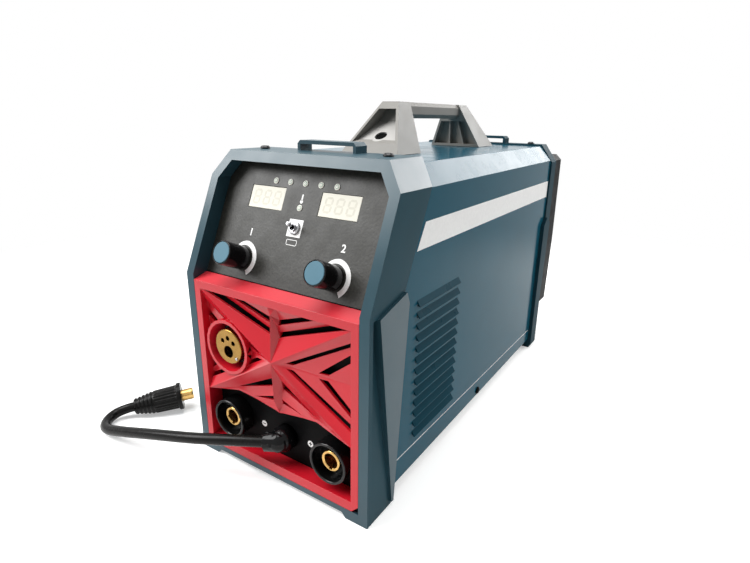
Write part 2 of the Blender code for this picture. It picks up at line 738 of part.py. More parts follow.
def top_cover():
    """The painted sheet over both sides and the top, with louvres and a door opening."""
    outer = arch(COVER_HALF, COVER_BOTTOM, COVER_TOP, COVER_CORNER_X, COVER_CORNER_Z)
    inner = inner_arch(COVER_HALF, 0, COVER_TOP, COVER_CORNER_X, COVER_CORNER_Z, SHEET, COVER_BOTTOM)
    cover = add("top_cover", prism(outer + inner[::-1], 0, REAR_FACE, "Y"), COVER_BLUE)
    side = front_seam(GAP) + rear_seam(-GAP)
    keep(cover, prism(side, -FAR, FAR, "X"))
    cut(cover, box((-FAR, DOOR_FRONT, DOOR_FOOT), (0, DOOR_REAR, DOOR_TOP)))
    for foot in hinge_feet():
        top = foot + 2 * KNUCKLE_LENGTH + GAP
        cut(cover, box((-FAR, DOOR_REAR - KNUCKLE, foot - 2 * GAP),
                       (0, DOOR_REAR + KNUCKLE + 2 * GAP, top + 2 * GAP)))
    first = seam_low(LOUVRE_TOP) + LOUVRE_SETBACK
    last = first + LOUVRE_LENGTH
    for i in range(LOUVRE_COUNT):
        top = LOUVRE_TOP - i * LOUVRE_PITCH
        cut(cover, box((0, first, top - LOUVRE_SLOT), (FAR, last, top)))
    for i in range(LOUVRE_COUNT):
        top = LOUVRE_TOP - i * LOUVRE_PITCH
        low = top - LOUVRE_SLOT
        hood = [(INNER_HALF, top), (COVER_HALF + LOUVRE_HOOD - LOUVRE_HOOD_THICK, low),
                (COVER_HALF + LOUVRE_HOOD, low), (COVER_HALF, top + LOUVRE_HOOD_THICK),
                (INNER_HALF, top + LOUVRE_HOOD_THICK)]
        fuse(cover, prism(hood, first - LOUVRE_HOOD_THICK, last + LOUVRE_HOOD_THICK, "Y"))


def hinge_feet():
    """Heights where the two door hinges start."""
    return (DOOR_FOOT + HINGE_INSET, DOOR_TOP - HINGE_INSET - 2 * KNUCKLE_LENGTH)


def side_door():
    """The wire compartment door with lips, hinge knuckles and a latch hole."""
    front = DOOR_FRONT + DOOR_GAP
    rear = DOOR_REAR - DOOR_GAP
    foot = DOOR_FOOT + DOOR_GAP
    top = DOOR_TOP - DOOR_GAP
    door = add("side_door", box((-COVER_HALF, front, foot), (-INNER_HALF, rear, top)), COVER_BLUE)
    lip_rear = rear - DOOR_LIP
    lip = DOOR_LIP - SHEET
    fuse(door, box((-COVER_HALF + SHEET / 2, front + lip, foot), (-INNER_HALF + lip, lip_rear, foot + SHEET)),
         box((-COVER_HALF + SHEET / 2, front + lip, top - SHEET), (-INNER_HALF + lip, lip_rear, top)))
    for hinge in hinge_feet():
        start = hinge + KNUCKLE_LENGTH + GAP
        end = hinge + 2 * KNUCKLE_LENGTH
        cut(door, box((-FAR, rear - KNUCKLE - GAP, hinge - 2 * GAP), (0, rear + KNUCKLE, start)))
        fuse(door, rod(KNUCKLE, start, end, "Z", (HINGE_X, DOOR_REAR), SMALL))
        cut(door, rod(HINGE_PIN + GAP, start - GAP, end + GAP, "Z", (HINGE_X, DOOR_REAR), SMALL))
    cut(door, rod(LATCH_SHAFT + GAP, -FAR, 0, "X", latch_spot(), 16))
    move_origin(door, (HINGE_X, DOOR_REAR, 0))


def move_origin(piece, origin):
    """Puts a piece's origin on its joint axis and leaves the piece where it is."""
    piece.data.transform(Matrix.Translation(-Vector(origin)))
    piece.location = origin


def latch_spot():
    """The latch shaft's place, as y and z."""
    return (DOOR_FRONT + DOOR_GAP + LATCH_SETBACK, (DOOR_FOOT + DOOR_TOP) / 2)


def door_latch():
    """A quarter-turn latch: knob outside, shaft through the door, cam inside."""
    y, z = latch_spot()
    outer = -COVER_HALF - GAP
    latch = add("door_latch", rod(LATCH_RADIUS, outer - LATCH_RISE, outer, "X", (y, z), 20), BLACK)
    groove_floor = outer - LATCH_RISE / 2
    groove = box((-FAR, y - LATCH_GROOVE / 2, z - LATCH_RADIUS * 0.75),
                 (groove_floor, y + LATCH_GROOVE / 2, z + LATCH_RADIUS * 0.75))
    cut(latch, groove)
    cam = -INNER_HALF + LATCH_CAM_DEPTH
    fuse(latch, rod(LATCH_SHAFT, outer - LATCH_RISE / 4, cam + GAP, "X", (y, z), 16),
         box((cam, y - LATCH_CAM_HALF, z - LATCH_CAM_HALF),
             (cam + LATCH_CAM_THICK, y + LATCH_CAM_HALF, z + LATCH_CAM)))
    move_origin(latch, (outer, y, z))


def door_hinges():
    """Fixed halves of two lift-off hinges, each with its pin."""
    for name, foot in zip(("hinge_lower", "hinge_upper"), hinge_feet()):
        end = foot + KNUCKLE_LENGTH
        hinge = add(name, rod(KNUCKLE, foot, end, "Z", (HINGE_X, DOOR_REAR), SMALL), STEEL)
        leaf_inner = -COVER_HALF - GAP
        fuse(hinge, box((leaf_inner - HINGE_LEAF, DOOR_REAR + HINGE_LEAF, foot),
                        (leaf_inner, REAR_LOW - 2 * GAP, end)),
             rod(HINGE_PIN, end - GAP, end + KNUCKLE_LENGTH, "Z", (HINGE_X, DOOR_REAR), SMALL))


def base_tray():
    """The folded sheet floor with side flanges and a tab into each frame."""
    half = INNER_HALF - GAP
    inner = half - SHEET
    flange = TRAY_FLOOR + TRAY_FLANGE
    section = [(half, TRAY_FLOOR), (half, flange), (inner, flange), (inner, TRAY_TOP),
               (-inner, TRAY_TOP), (-inner, flange), (-half, flange), (-half, TRAY_FLOOR)]
    front = seam_low(flange) + TONGUE + GAP
    rear = REAR_LOW - TONGUE - GAP
    tray = add("base_tray", prism(section, front, rear, "Y"), STEEL)
    tab = CAVITY - TRAY_TAB_MARGIN
    fuse(tray, box((-tab, SOCKET_BACK + GAP, TRAY_FLOOR), (tab, rear - SHEET, TRAY_TOP)),
         box((-tab, rear - 2 * SHEET, TRAY_FLOOR), (tab, REAR_PANEL - GAP, TRAY_TOP)))


def bulkhead():
    """The partition between the wire side and the power side."""
    low = TRAY_TOP + GAP
    top = INNER_TOP - GAP
    rear = REAR_LOW - TONGUE - GAP
    upper_front = SEAM_TOP + TONGUE + SHEET
    side = [(BULKHEAD_FRONT, low), (rear, low), (rear, top), (upper_front, top),
            (upper_front, BULKHEAD_LOW_TOP + upper_front - BULKHEAD_FRONT),
            (BULKHEAD_FRONT, BULKHEAD_LOW_TOP)]
    wall = add("bulkhead", prism(side, BULKHEAD_X - SHEET, BULKHEAD_X, "X"), STEEL)
    fuse(wall, box((BULKHEAD_X - SHEET / 2, BULKHEAD_FRONT, low),
                   (BULKHEAD_X + BULKHEAD_FLANGE, CORE_FRONT - SHEET, low + SHEET)))
    cut(wall, rod(ROLL_SHAFT + 2 * GAP, -FAR, FAR, "X", roll_centre(), 16))


def control_panel():
    """The tilted plate with windows and holes for what sits in it."""
    outline = inner_arch(HALF, 0, BODY_HEIGHT, CORNER_X, CORNER_Z, RIM + GAP,
                         BEZEL_TOP + BEZEL_RISE + 2 * GAP)
    faces = []
    for back in (0, PANEL_THICK):
        faces.append([(x, PANEL_RECESS + (z - NOSE_HEIGHT) * TILT + back, z) for x, z in outline])
    panel = add("control_panel", loft(faces), PANEL_BLACK)

    def hole(shape, x, slope):
        return shifted(shape, on_panel(x, slope), PANEL_ROTATION)

    for side in (-1, 1):
        half_x = METER_WIDTH / 2
        half_y = METER_TALL / 2
        window = box((-half_x, -half_y, -METER_WIDTH), (half_x, half_y, METER_WIDTH))
        cut(panel, hole(window, side * METER_X, METER_SLOPE))
        bush = rod(BUSH_RADIUS + GAP, -METER_WIDTH, METER_WIDTH, "Z", count=16)
        cut(panel, hole(bush, side * KNOB_X, KNOB_SLOPE))
    for x, slope in lamp_spots():
        lamp = rod(LAMP_RADIUS + GAP, -METER_WIDTH, METER_WIDTH, "Z", count=10)
        cut(panel, hole(lamp, x, slope))
    bush = rod(TOGGLE_BUSH + GAP, -METER_WIDTH, METER_WIDTH, "Z", count=16)
    cut(panel, hole(bush, 0, TOGGLE_SLOPE))


def lamp_spots():
    """Five status lamps in a row and one overheat lamp."""
    return [((i - 2) * LAMP_PITCH, LAMP_SLOPE) for i in range(5)] + [(0, OVERHEAT_SLOPE)]


def meters():
    """A clear window for each digital meter."""
    half_x = METER_WIDTH / 2 - GAP
    half_y = METER_TALL / 2 - GAP
    for name, side in (("voltage_meter", -1), ("current_meter", 1)):
        lens = box((-half_x, -half_y, -METER_THICK), (half_x, half_y, 0))
        add(name, lens, LENS, on_panel(side * METER_X, METER_SLOPE, -GAP), PANEL_ROTATION)


def display_board():
    """The circuit board behind the panel with its lamps and digit blocks."""
    wide = METER_X + METER_WIDTH / 2 + BOARD_MARGIN
    low = METER_SLOPE - METER_TALL / 2 - BOARD_MARGIN
    high = LAMP_SLOPE + BOARD_MARGIN
    back = -BOARD_BEHIND - BOARD_THICK
    board = add("display_board", box((-wide, low, back), (wide, high, -BOARD_BEHIND)), BOARD_GREEN,
                on_panel(0, 0), PANEL_ROTATION)
    half_x = METER_WIDTH / 2 - 2 * GAP
    half_y = METER_TALL / 2 - 2 * GAP
    lens_back = -METER_THICK - 2 * GAP
    for side in (-1, 1):
        x = side * METER_X
        fuse(board, box((x - half_x, METER_SLOPE - half_y, back / 2 - BOARD_BEHIND / 2),
                        (x + half_x, METER_SLOPE + half_y, lens_back)))
    for x, slope in lamp_spots():
        fuse(board, rod(LAMP_RADIUS, back / 2 - BOARD_BEHIND / 2, LAMP_RISE, "Z", (x, slope), 10))


def knob_set(name, side):
    """A knob, its cap, the spindle that turns it and the potentiometer behind the panel."""
    spot = on_panel(side * KNOB_X, KNOB_SLOPE)
    back = -PANEL_THICK - GAP
    pot = [(SPINDLE_RADIUS + GAP, BUSH_RISE), (BUSH_RADIUS, BUSH_RISE), (BUSH_RADIUS, back),
           (POT_RADIUS, back), (POT_RADIUS, back - POT_DEPTH), (SPINDLE_RADIUS + GAP, back - POT_DEPTH)]
    smooth(add(f"{name}_pot", turned(pot, SMALL, closed=True), STEEL, spot, PANEL_ROTATION))
    spindle = [(0, back - POT_DEPTH), (SPINDLE_RADIUS, back - POT_DEPTH), (SPINDLE_RADIUS, SPINDLE_TIP),
               (0, SPINDLE_TIP)]
    smooth(add(f"{name}_spindle", turned(spindle, 16), STEEL, spot, PANEL_ROTATION))
    seat = KNOB_TIP - CAP_SUNK
    room = BUSH_RADIUS + 4 * GAP
    grip = SPINDLE_RADIUS + GAP
    edge = 2 * GAP
    knob = [(room, KNOB_LIFT), (KNOB_RADIUS - edge, KNOB_LIFT), (KNOB_RADIUS, KNOB_LIFT + edge),
            (KNOB_RADIUS, KNOB_TIP - edge), (KNOB_RADIUS - edge, KNOB_TIP), (CAP_RADIUS + GAP, KNOB_TIP),
            (CAP_RADIUS + GAP, seat), (0, seat), (0, SPINDLE_TIP + GAP), (grip, SPINDLE_TIP + GAP),
            (grip, BUSH_RISE + edge), (room, BUSH_RISE + edge)]
    smooth(add(f"{name}_knob", knob_solid(knob), BLACK, spot, PANEL_ROTATION))
    cap = [(0, seat + GAP), (CAP_RADIUS, seat + GAP), (CAP_RADIUS, KNOB_TIP - GAP),
           (CAP_RADIUS - edge, KNOB_TIP), (0, KNOB_TIP)]
    smooth(add(f"{name}_cap", turned(cap, ROUND), CAP_BLUE, spot, PANEL_ROTATION))


def knob_solid(profile):
    """A knob turned from a profile that crosses the axis twice: outside first, then its socket."""
    split = [i for i, point in enumerate(profile) if point[0] == 0]
    count = ROUND
    shape = bmesh.new()
    rings = []
    for radius, height in profile:
        if radius == 0:
            rings.append([shape.verts.new((0, 0, height))] * count)
        else:
            rings.append([shape.verts.new((u, v, height)) for u, v in circle(radius, count)])
    for i, near in enumerate(rings):
        if i == split[0]:
            continue
        far = rings[(i + 1) % len(rings)]
        for k in range(count):
            j = (k + 1) % count
            shape.faces.new(list(dict.fromkeys((near[k], near[j], far[j], far[k]))))
    bmesh.ops.recalc_face_normals(shape, faces=shape.faces)
    return shape


def mode_toggle():
    """A panel toggle switch and its lever."""
    spot = on_panel(0, TOGGLE_SLOPE)
    back = -PANEL_THICK - GAP
    well = LEVER_RADIUS + 3 * GAP
    body = add("toggle_switch", box((-TOGGLE_BODY, -TOGGLE_BODY, back - TOGGLE_BODY_DEPTH),
                                    (TOGGLE_BODY, TOGGLE_BODY, back)), STEEL, spot, PANEL_ROTATION)
    fuse(body, rod(TOGGLE_BUSH, back - GAP, TOGGLE_RISE, "Z", count=16),
         rod(TOGGLE_NUT, GAP, TOGGLE_RISE / 2, "Z", count=6))
    mouth = TOGGLE_RISE - TOGGLE_BUSH
    cut(body, shifted(turned([(0, back), (well, back), (well, mouth), (TOGGLE_BUSH - GAP, TOGGLE_RISE + GAP),
                              (0, TOGGLE_RISE + GAP)], 16)))
    lever = [(0, -LEVER_RADIUS), (LEVER_RADIUS * 0.8, -LEVER_RADIUS * 0.6), (LEVER_RADIUS, 0),
             (LEVER_RADIUS * 0.8, LEVER_TIP * 0.4), (LEVER_BALL, LEVER_TIP * 0.75),
             (LEVER_BALL, LEVER_TIP * 0.9), (LEVER_BALL * 0.5, LEVER_TIP), (0, LEVER_TIP)]
    pivot = on_panel(0, TOGGLE_SLOPE, LEVER_PIVOT)
    tilt = Euler((PANEL_ROTATION.x + LEVER_REST, 0, 0))
    smooth(add("toggle_lever", turned(lever, SMALL), STEEL, pivot, tilt))


def relief(faces, rear_of):
    """A closed moulding from facets of (x, z, depth) and their mirror images.

    Facets share corners, and where one facet's corner lies on another's edge the edge takes
    it in, so that the front is one skin. rear_of gives the (depth, z) of the rear skin behind
    a corner, and open edges become the walls of slots.
    """
    depth = {}
    rings = []
    for face in faces:
        ring = [(round(x, 7), round(z, 7)) for x, z, y in face]
        for key, corner in zip(ring, face):
            depth.setdefault(key, corner[2])
        area = sum(a[0] * b[1] - b[0] * a[1] for a, b in zip(ring, ring[1:] + ring[:1]))
        rings.append(ring if area > 0 else ring[::-1])
    points = list(depth)
    order = {key: i for i, key in enumerate(points)}
    outlines = [[order[key] for key in ring] for ring in rings]
    skin = delaunay_2d_cdt([Vector(key) for key in points], [], outlines, 1, GAP / 100)
    corners = [points[source[0]] for source in skin[3]]
    triangles = [[corners[i] for i in face] for face, owner in zip(skin[2], skin[5]) if owner]
    triangles += [[(-x, z) for x, z in reversed(face)] for face in triangles]

    shape = bmesh.new()
    front = {}
    rear = {}
    edges = {}
    for face in triangles:
        for x, z in face:
            if (x, z) not in front:
                y = depth[abs(x), z]
                rear_y, rear_z = rear_of(abs(x), z, y)
                front[x, z] = shape.verts.new((x, y, z))
                rear[x, z] = shape.verts.new((x, rear_y, rear_z))
        shape.faces.new([front[key] for key in face])
        shape.faces.new([rear[key] for key in reversed(face)])
        for start, end in zip(face, face[1:] + face[:1]):
            edges.setdefault(frozenset((start, end)), []).append((start, end))
    for uses in edges.values():
        if len(uses) == 1:
            start, end = uses[0]
            shape.faces.new([front[end], front[start], rear[start], rear[end]])
    bmesh.ops.recalc_face_normals(shape, faces=shape.faces)
    return shape


def grille_facets():
    """The right half of the grille's front skin, as facets of (x, z, depth)."""
    edge_x = BEZEL_HALF - BEZEL_BORDER
    edge_z = BEZEL_TOP - BEZEL_BORDER
    side = edge_x - GRILLE_WALL
    top = STAR_TOP
    low = BAY_TOP
    foot = TRAY_FLOOR
    sill = foot + BEZEL_FOOT_BORDER
    deep, mid, shallow = 8 * MM, 6.5 * MM, 4 * MM
    star = (0, STAR_HEIGHT, 0)
    upper = (side, top, GRILLE_WALL)
    lower = (side, low, GRILLE_WALL)

    # Border strips and the short wall inside them
    facets = [
        [(0, edge_z, 0), (edge_x, edge_z, 0), (BEZEL_HALF, BEZEL_TOP, 0), (0, BEZEL_TOP, 0)],
        [(edge_x, edge_z, 0), (BEZEL_HALF, BEZEL_TOP, 0), (BEZEL_HALF, foot + BEZEL_FOOT_CUT, 0),
         (BEZEL_HALF - BEZEL_FOOT_CUT, foot, 0), (edge_x, sill, 0)],
        [(0, sill, 0), (edge_x, sill, 0), (BEZEL_HALF - BEZEL_FOOT_CUT, foot, 0), (0, foot, 0)],
        [(0, edge_z, 0), (edge_x, edge_z, 0), upper, (0, top, shallow)],
        [(edge_x, edge_z, 0), upper, lower, (edge_x, low - GRILLE_WALL, 0)],
    ]

    # Upper sector: fin, flank of the ridge, slat and outer facet
    fin_z = [top - step * STAR_REACH for step in TOP_STEPS]
    fin_depth = (deep, mid, deep + MM, deep - MM)
    fin = [(FIN_HALF, z, d) for z, d in zip(fin_z, fin_depth)]
    run_depth = (shallow, shallow, mid, 1.2 * MM)
    runs = [(side - run, top, d) for run, d in zip(TOP_RUNS, run_depth)]
    fin_tip = (0, top - FIN_TOP * STAR_REACH, FIN_DEPTH)
    facets += [
        [star, fin[3], runs[3], upper],
        [fin[2], fin[1], runs[1], runs[2]],
        [fin[0], runs[0], (FIN_HALF, top, shallow)],
        [star, fin_tip, fin[0], fin[1], fin[2], fin[3]],
        [fin_tip, fin[0], (FIN_HALF, top, shallow), (0, top, shallow)],
    ]

    # Side sector, above and below the level of the star
    inner = [(run, d) for run, d in zip(SIDE_RUNS, (4 * MM, 5 * MM, 6.5 * MM, 7.4 * MM))]
    side_depth = (shallow, deep - MM, mid, mid)
    for up, corner in ((1, upper), (-1, lower)):
        spine = [(x, STAR_HEIGHT + up * SPINE_HALF, d) for x, d in inner]
        axis = [(x, STAR_HEIGHT, d + 0.6 * MM) for x, d in inner]
        edge = [(side, STAR_HEIGHT + up * STAR_REACH * (1 - step), d)
                for step, d in zip(SIDE_STEPS, side_depth)]
        facets += [
            [star, axis[0], spine[0], edge[0], corner],
            [axis[0], spine[0], spine[1], axis[1]],
            [axis[1], spine[1], edge[1], edge[2], spine[2], axis[2]],
            [axis[2], spine[2], spine[3], axis[3]],
            [axis[3], spine[3], edge[3], (side, STAR_HEIGHT, deep + MM)],
        ]

    # Lower sector, down to the stepped edge over the socket bay
    point = low - LOW_POINT_DROP
    notch = (LOW_NOTCH_X, low + LOW_NOTCH_RISE, shallow)
    slot_tip = (LOW_NOTCH_X, low + LOW_NOTCH_RISE + LOW_SLOT_TIP, shallow)
    share = LOW_SLOT_X / LOW_NOTCH_X
    rim_z = point + (low + LOW_NOTCH_RISE - point) * share
    rim = (LOW_SLOT_X, rim_z, mid)
    rim_tip = (LOW_SLOT_X, rim_z + LOW_SLOT_TIP / 2, mid)
    share = FIN_HALF / LOW_NOTCH_X
    fin_rim = (FIN_HALF, point + (low + LOW_NOTCH_RISE - point) * share, deep)
    depths = (deep, mid, deep + MM, deep - MM)
    fin = [(FIN_HALF, point + step * STAR_REACH, depth) for step, depth in zip(LOW_STEPS, depths)]
    fin_tip = (0, point + FIN_FOOT * STAR_REACH, FIN_DEPTH)
    facets += [
        [star, lower, notch, slot_tip, fin[3]],
        [fin[2], slot_tip, notch, rim, rim_tip, fin[1]],
        [fin[0], rim_tip, rim, fin_rim],
        [star, fin[3], fin[2], fin[1], fin[0], fin_tip],
        [fin_tip, fin[0], fin_rim, (0, point, deep)],
    ]
    return facets


def front_grille():
    """The red moulding: bezel, faceted star with slots, torch socket ring and socket bay."""
    inside_x = BEZEL_HALF - BEZEL_BORDER - GRILLE_WALL / 2
    inside_z = BEZEL_TOP - BEZEL_BORDER - GRILLE_WALL / 2
    sill = TRAY_FLOOR + BEZEL_FOOT_BORDER

    def rear_of(x, z, y):
        if x < inside_x and sill < z < inside_z:
            return y + GRILLE_SHELL, z
        return BEZEL_BACK, z + (BEZEL_RISE if z > BEZEL_TOP - GRILLE_WALL else 0)

    grille = add("front_grille", relief(grille_facets(), rear_of), RED)
    spot = (EURO_X, STAR_HEIGHT)
    cut(grille, rod(EURO_RING - EURO_RING_WALL / 2, -FAR, FAR, "Y", spot, ROUND))
    bore = EURO_RING - EURO_RING_WALL
    ring = [(EURO_RING, 0), (EURO_RING, BEZEL_BACK), (bore - EURO_RING_TAPER, BEZEL_BACK), (bore, 0)]
    fuse(grille, shifted(turned(ring, ROUND, closed=True), (EURO_X, 0, STAR_HEIGHT), Euler((-pi / 2, 0, 0))))


def socket_panel():
    """The black plate behind the grille that carries all front sockets."""
    half = CAVITY - GAP
    panel = add("socket_panel", box((-half, SOCKET_FACE, TRAY_FLOOR),
                                    (half, SOCKET_BACK, BEZEL_TOP + BEZEL_RISE - GAP)), PANEL_BLACK)
    cut(panel, rod(EURO_SLEEVE + GAP, -FAR, FAR, "Y", (EURO_X, STAR_HEIGHT), ROUND),
        rod(GLAND_NUT + GAP, -FAR, FAR, "Y", (GLAND_X, GLAND_HEIGHT), 16))
    for side in (-1, 1):
        cut(panel, rod(DINSE_NECK + GAP, -FAR, FAR, "Y", (side * DINSE_X, DINSE_HEIGHT), 24))


def torch_socket():
    """The brass torch socket and the insulating bush that holds it in the plate."""
    backwards = Euler((-pi / 2, 0, 0))
    spot = (EURO_X, 0, STAR_HEIGHT)
    edge = 2 * GAP
    flange_end = SOCKET_BACK + GAP + EURO_FLANGE_THICK
    tail_end = FEEDER_FRONT + FEEDER_LUG - SHEET
    brass = [(0, EURO_FACE), (EURO_RADIUS - edge, EURO_FACE), (EURO_RADIUS, EURO_FACE + edge),
             (EURO_RADIUS, EURO_BODY_END), (EURO_TAIL_RADIUS, EURO_BODY_END + edge),
             (EURO_TAIL_RADIUS, tail_end), (0, tail_end)]
    socket = add("euro_socket", turned(brass, ROUND), BRASS, spot, backwards)
    wire = rod(EURO_BORE, -FAR, EURO_FACE + EURO_BORE_DEPTH, "Z", (0, EURO_BORE_DROP), 20)
    cut(socket, wire)
    cut(socket, rod(WIRE_BORE, EURO_FACE + EURO_BORE, FAR, "Z", (0, EURO_BORE_DROP), 8))
    for turn in (-1, 0, 1):
        angle = turn * EURO_CONTACT_ANGLE
        centre = (EURO_CONTACT_RING * sin(angle), -EURO_CONTACT_RING * cos(angle))
        cut(socket, rod(EURO_CONTACT, -FAR, EURO_FACE + EURO_CONTACT_DEPTH, "Z", centre, 12))
    smooth(socket)
    bush = [(EURO_RADIUS + GAP, EURO_SLEEVE_FRONT), (EURO_SLEEVE, EURO_SLEEVE_FRONT),
            (EURO_SLEEVE, SOCKET_BACK + GAP), (EURO_FLANGE, SOCKET_BACK + GAP), (EURO_FLANGE, flange_end),
            (EURO_RADIUS + GAP, flange_end)]
    smooth(add("euro_insulator", turned(bush, 16, closed=True), BLACK, spot, backwards))


def current_sockets():
    """Two twist-lock current sockets, each a housing and a brass insert."""
    backwards = Euler((-pi / 2, 0, 0))
    edge = 2 * GAP
    for name, side in (("left", -1), ("right", 1)):
        spot = (side * DINSE_X, 0, DINSE_HEIGHT)
        cup = DINSE_RADIUS - DINSE_WALL
        plate = SOCKET_FACE - GAP
        housing = [(DINSE_RADIUS - edge, 0), (DINSE_RADIUS, edge), (DINSE_RADIUS, plate), (DINSE_NECK, plate),
                   (DINSE_NECK, DINSE_NECK_END), (DINSE_BRASS + GAP, DINSE_NECK_END),
                   (DINSE_BRASS + GAP, DINSE_CUP), (cup, DINSE_CUP), (cup, edge), (cup + edge, 0)]
        smooth(add(f"dinse_housing_{name}", turned(housing, ROUND, closed=True), BLACK, spot, backwards))
        bottom = DINSE_BRASS_FACE + DINSE_BORE_DEPTH
        insert = [(DINSE_BORE + edge, DINSE_BRASS_FACE), (DINSE_BRASS - edge, DINSE_BRASS_FACE),
                  (DINSE_BRASS, DINSE_BRASS_FACE + edge), (DINSE_BRASS, DINSE_BRASS_END),
                  (0, DINSE_BRASS_END), (0, bottom), (DINSE_BORE, bottom),
                  (DINSE_BORE, DINSE_BRASS_FACE + edge)]
        brass = add(f"dinse_insert_{name}", knob_solid(insert), BRASS, spot, backwards)
        half_key = DINSE_KEY / 2
        cut(brass, box((-half_key, 0, -FAR), (half_key, DINSE_KEY_REACH, bottom)))
        smooth(brass)


def cable_gland():
    """A strain relief that turns the polarity cable to the left."""
    plate = SOCKET_FACE - GAP
    elbow = Vector((GLAND_X, GLAND_ELBOW_DEPTH, GLAND_HEIGHT))
    lock_end = SOCKET_BACK + GLAND_NUT
    body = [(0, GLAND_ELBOW_DEPTH), (GLAND_ELBOW, GLAND_ELBOW_DEPTH),
            (GLAND_RADIUS, GLAND_ELBOW_DEPTH + 4 * MM), (GLAND_RADIUS, plate), (GLAND_NUT, plate),
            (GLAND_NUT, lock_end), (0, lock_end)]
    stem = shifted(turned(body, 16), (GLAND_X, 0, GLAND_HEIGHT), Euler((-pi / 2, 0, 0)))
    gland = add("cable_gland", stem, BLACK)
    ball = bmesh.new()
    bmesh.ops.create_uvsphere(ball, u_segments=12, v_segments=6, radius=GLAND_ELBOW)
    fuse(gland, shifted(ball, elbow))
    aim = GLAND_HEADING.to_track_quat("Z", "Y").to_euler()
    edge = 2 * GAP
    nut = [(0, 0), (GLAND_NUT, 0), (GLAND_NUT, GLAND_NUT_END - edge), (GLAND_NUT - edge, GLAND_NUT_END),
           (0, GLAND_NUT_END)]
    fuse(gland, shifted(turned(nut, 8), elbow, aim))
    smooth(gland, 50)


def cable_points():
    """Places that the polarity cable runs through, from the gland to the plug."""
    start = Vector((GLAND_X, GLAND_ELBOW_DEPTH, GLAND_HEIGHT)) + GLAND_HEADING * (GLAND_NUT_END + GAP)
    end = PLUG_START - PLUG_HEADING * GAP
    route = [(-30, -13.0, 40.2), (-54, -22.5, 37.4), (-80, -30.0, 33.0), (-108, -35.5, 27.4),
             (-134, -39.6, 21.6), (-160, -43.0, 15.2), (-178, -45.0, 10.8), (-192, -45.8, 7.6),
             (-204, -42.4, 6.0), (-212.4, -33.6, 6.0), (-214.6, -22.4, 7.4)]
    lead = end - PLUG_HEADING * CABLE_RADIUS
    return [start] + [Vector(point) * MM for point in route] + [lead, end]


def cable_curve(points, steps):
    """Points along a smooth curve through the route, leaving the gland and plug straight."""
    ahead = points[0] - GLAND_HEADING * CABLE_STEP
    beyond = points[-1] + PLUG_HEADING * CABLE_RADIUS
    knots = [ahead] + points + [beyond]
    curve = []
    for i in range(1, len(knots) - 2):
        a, b, c, d = knots[i - 1:i + 3]
        for k in range(steps):
            t = k / steps
            curve.append(b + (c - a) * t / 2 + (2 * a - 5 * b + 4 * c - d) * t * t / 2
                         + (3 * b - a - 3 * c + d) * t ** 3 / 2)
    curve.append(points[-1])
    return curve


def polarity_cable():
    """The cable as a tube along its route."""
    curve = bpy.data.curves.new("polarity_cable", "CURVE")
    curve.dimensions = "3D"
    curve.bevel_depth = CABLE_RADIUS
    curve.bevel_resolution = CABLE_SIDES
    curve.use_fill_caps = True
    points = cable_curve(cable_points(), 2)
    spline = curve.splines.new("POLY")
    spline.points.add(len(points) - 1)
    for slot, point in zip(spline.points, points):
        slot.co = (*point, 1)
    curve.materials.append(RUBBER)
    cable = bpy.data.objects.new("polarity_cable", curve)
    bpy.context.scene.collection.objects.link(cable)
    cable.parent = machine


def cable_plug():
    """The twist-lock plug: ribbed boot, fluted grip, end ring and brass pin."""
    aim = PLUG_HEADING.to_track_quat("Z", "Y").to_euler()
    rib = PLUG_BOOT_LENGTH / PLUG_RIBS
    profile = [(0, 0), (PLUG_TAIL - MM, 0)]
    for i in range(PLUG_RIBS):
        radius = PLUG_TAIL + (PLUG_GRIP - PLUG_TAIL) * i / (PLUG_RIBS - 1)
        profile += [(radius, i * rib + MM), (radius, (i + 0.62) * rib), (radius - MM, (i + 0.7) * rib),
                    (radius - MM, (i + 1) * rib)]
    ring = PLUG_LENGTH - PLUG_RING_LENGTH
    profile += [(PLUG_GRIP, PLUG_BOOT_LENGTH + MM), (PLUG_GRIP + MM, ring), (PLUG_RING, ring),
                (PLUG_RING, PLUG_LENGTH - MM), (PLUG_RING - MM, PLUG_LENGTH), (0, PLUG_LENGTH)]
    body = add("plug_body", shifted(turned(profile, 14), PLUG_START, aim), RUBBER)
    grip_start = PLUG_BOOT_LENGTH + (ring - PLUG_BOOT_LENGTH) / 2
    for i in range(PLUG_FLUTES):
        turn = Matrix.Rotation(2 * pi * i / PLUG_FLUTES, 4, "Z")
        flute = box((PLUG_GRIP - 2 * MM, -MM, grip_start), (PLUG_RING - MM, MM, ring + MM))
        bmesh.ops.transform(flute, matrix=turn, verts=flute.verts)
        fuse(body, shifted(flute, PLUG_START, aim))
    seat = PLUG_LENGTH - PIN_SEAT
    cut(body, shifted(rod(PIN_RADIUS + GAP, seat, PLUG_LENGTH + PIN_SEAT, "Z", count=20), PLUG_START, aim))
    smooth(body, 40)
    tip = PLUG_LENGTH + PIN_REACH
    pin = [(0, seat + GAP), (PIN_RADIUS, seat + GAP), (PIN_RADIUS, tip - MM), (PIN_RADIUS - MM, tip),
           (0, tip)]
    brass = add("plug_pin", shifted(turned(pin, 20), PLUG_START, aim), BRASS)
    key = box((PIN_RADIUS - MM, -MM, PLUG_LENGTH + 3 * MM), (PIN_RADIUS + MM, MM, tip - 3 * MM))
    fuse(brass, shifted(key, PLUG_START, aim))
    smooth(brass)


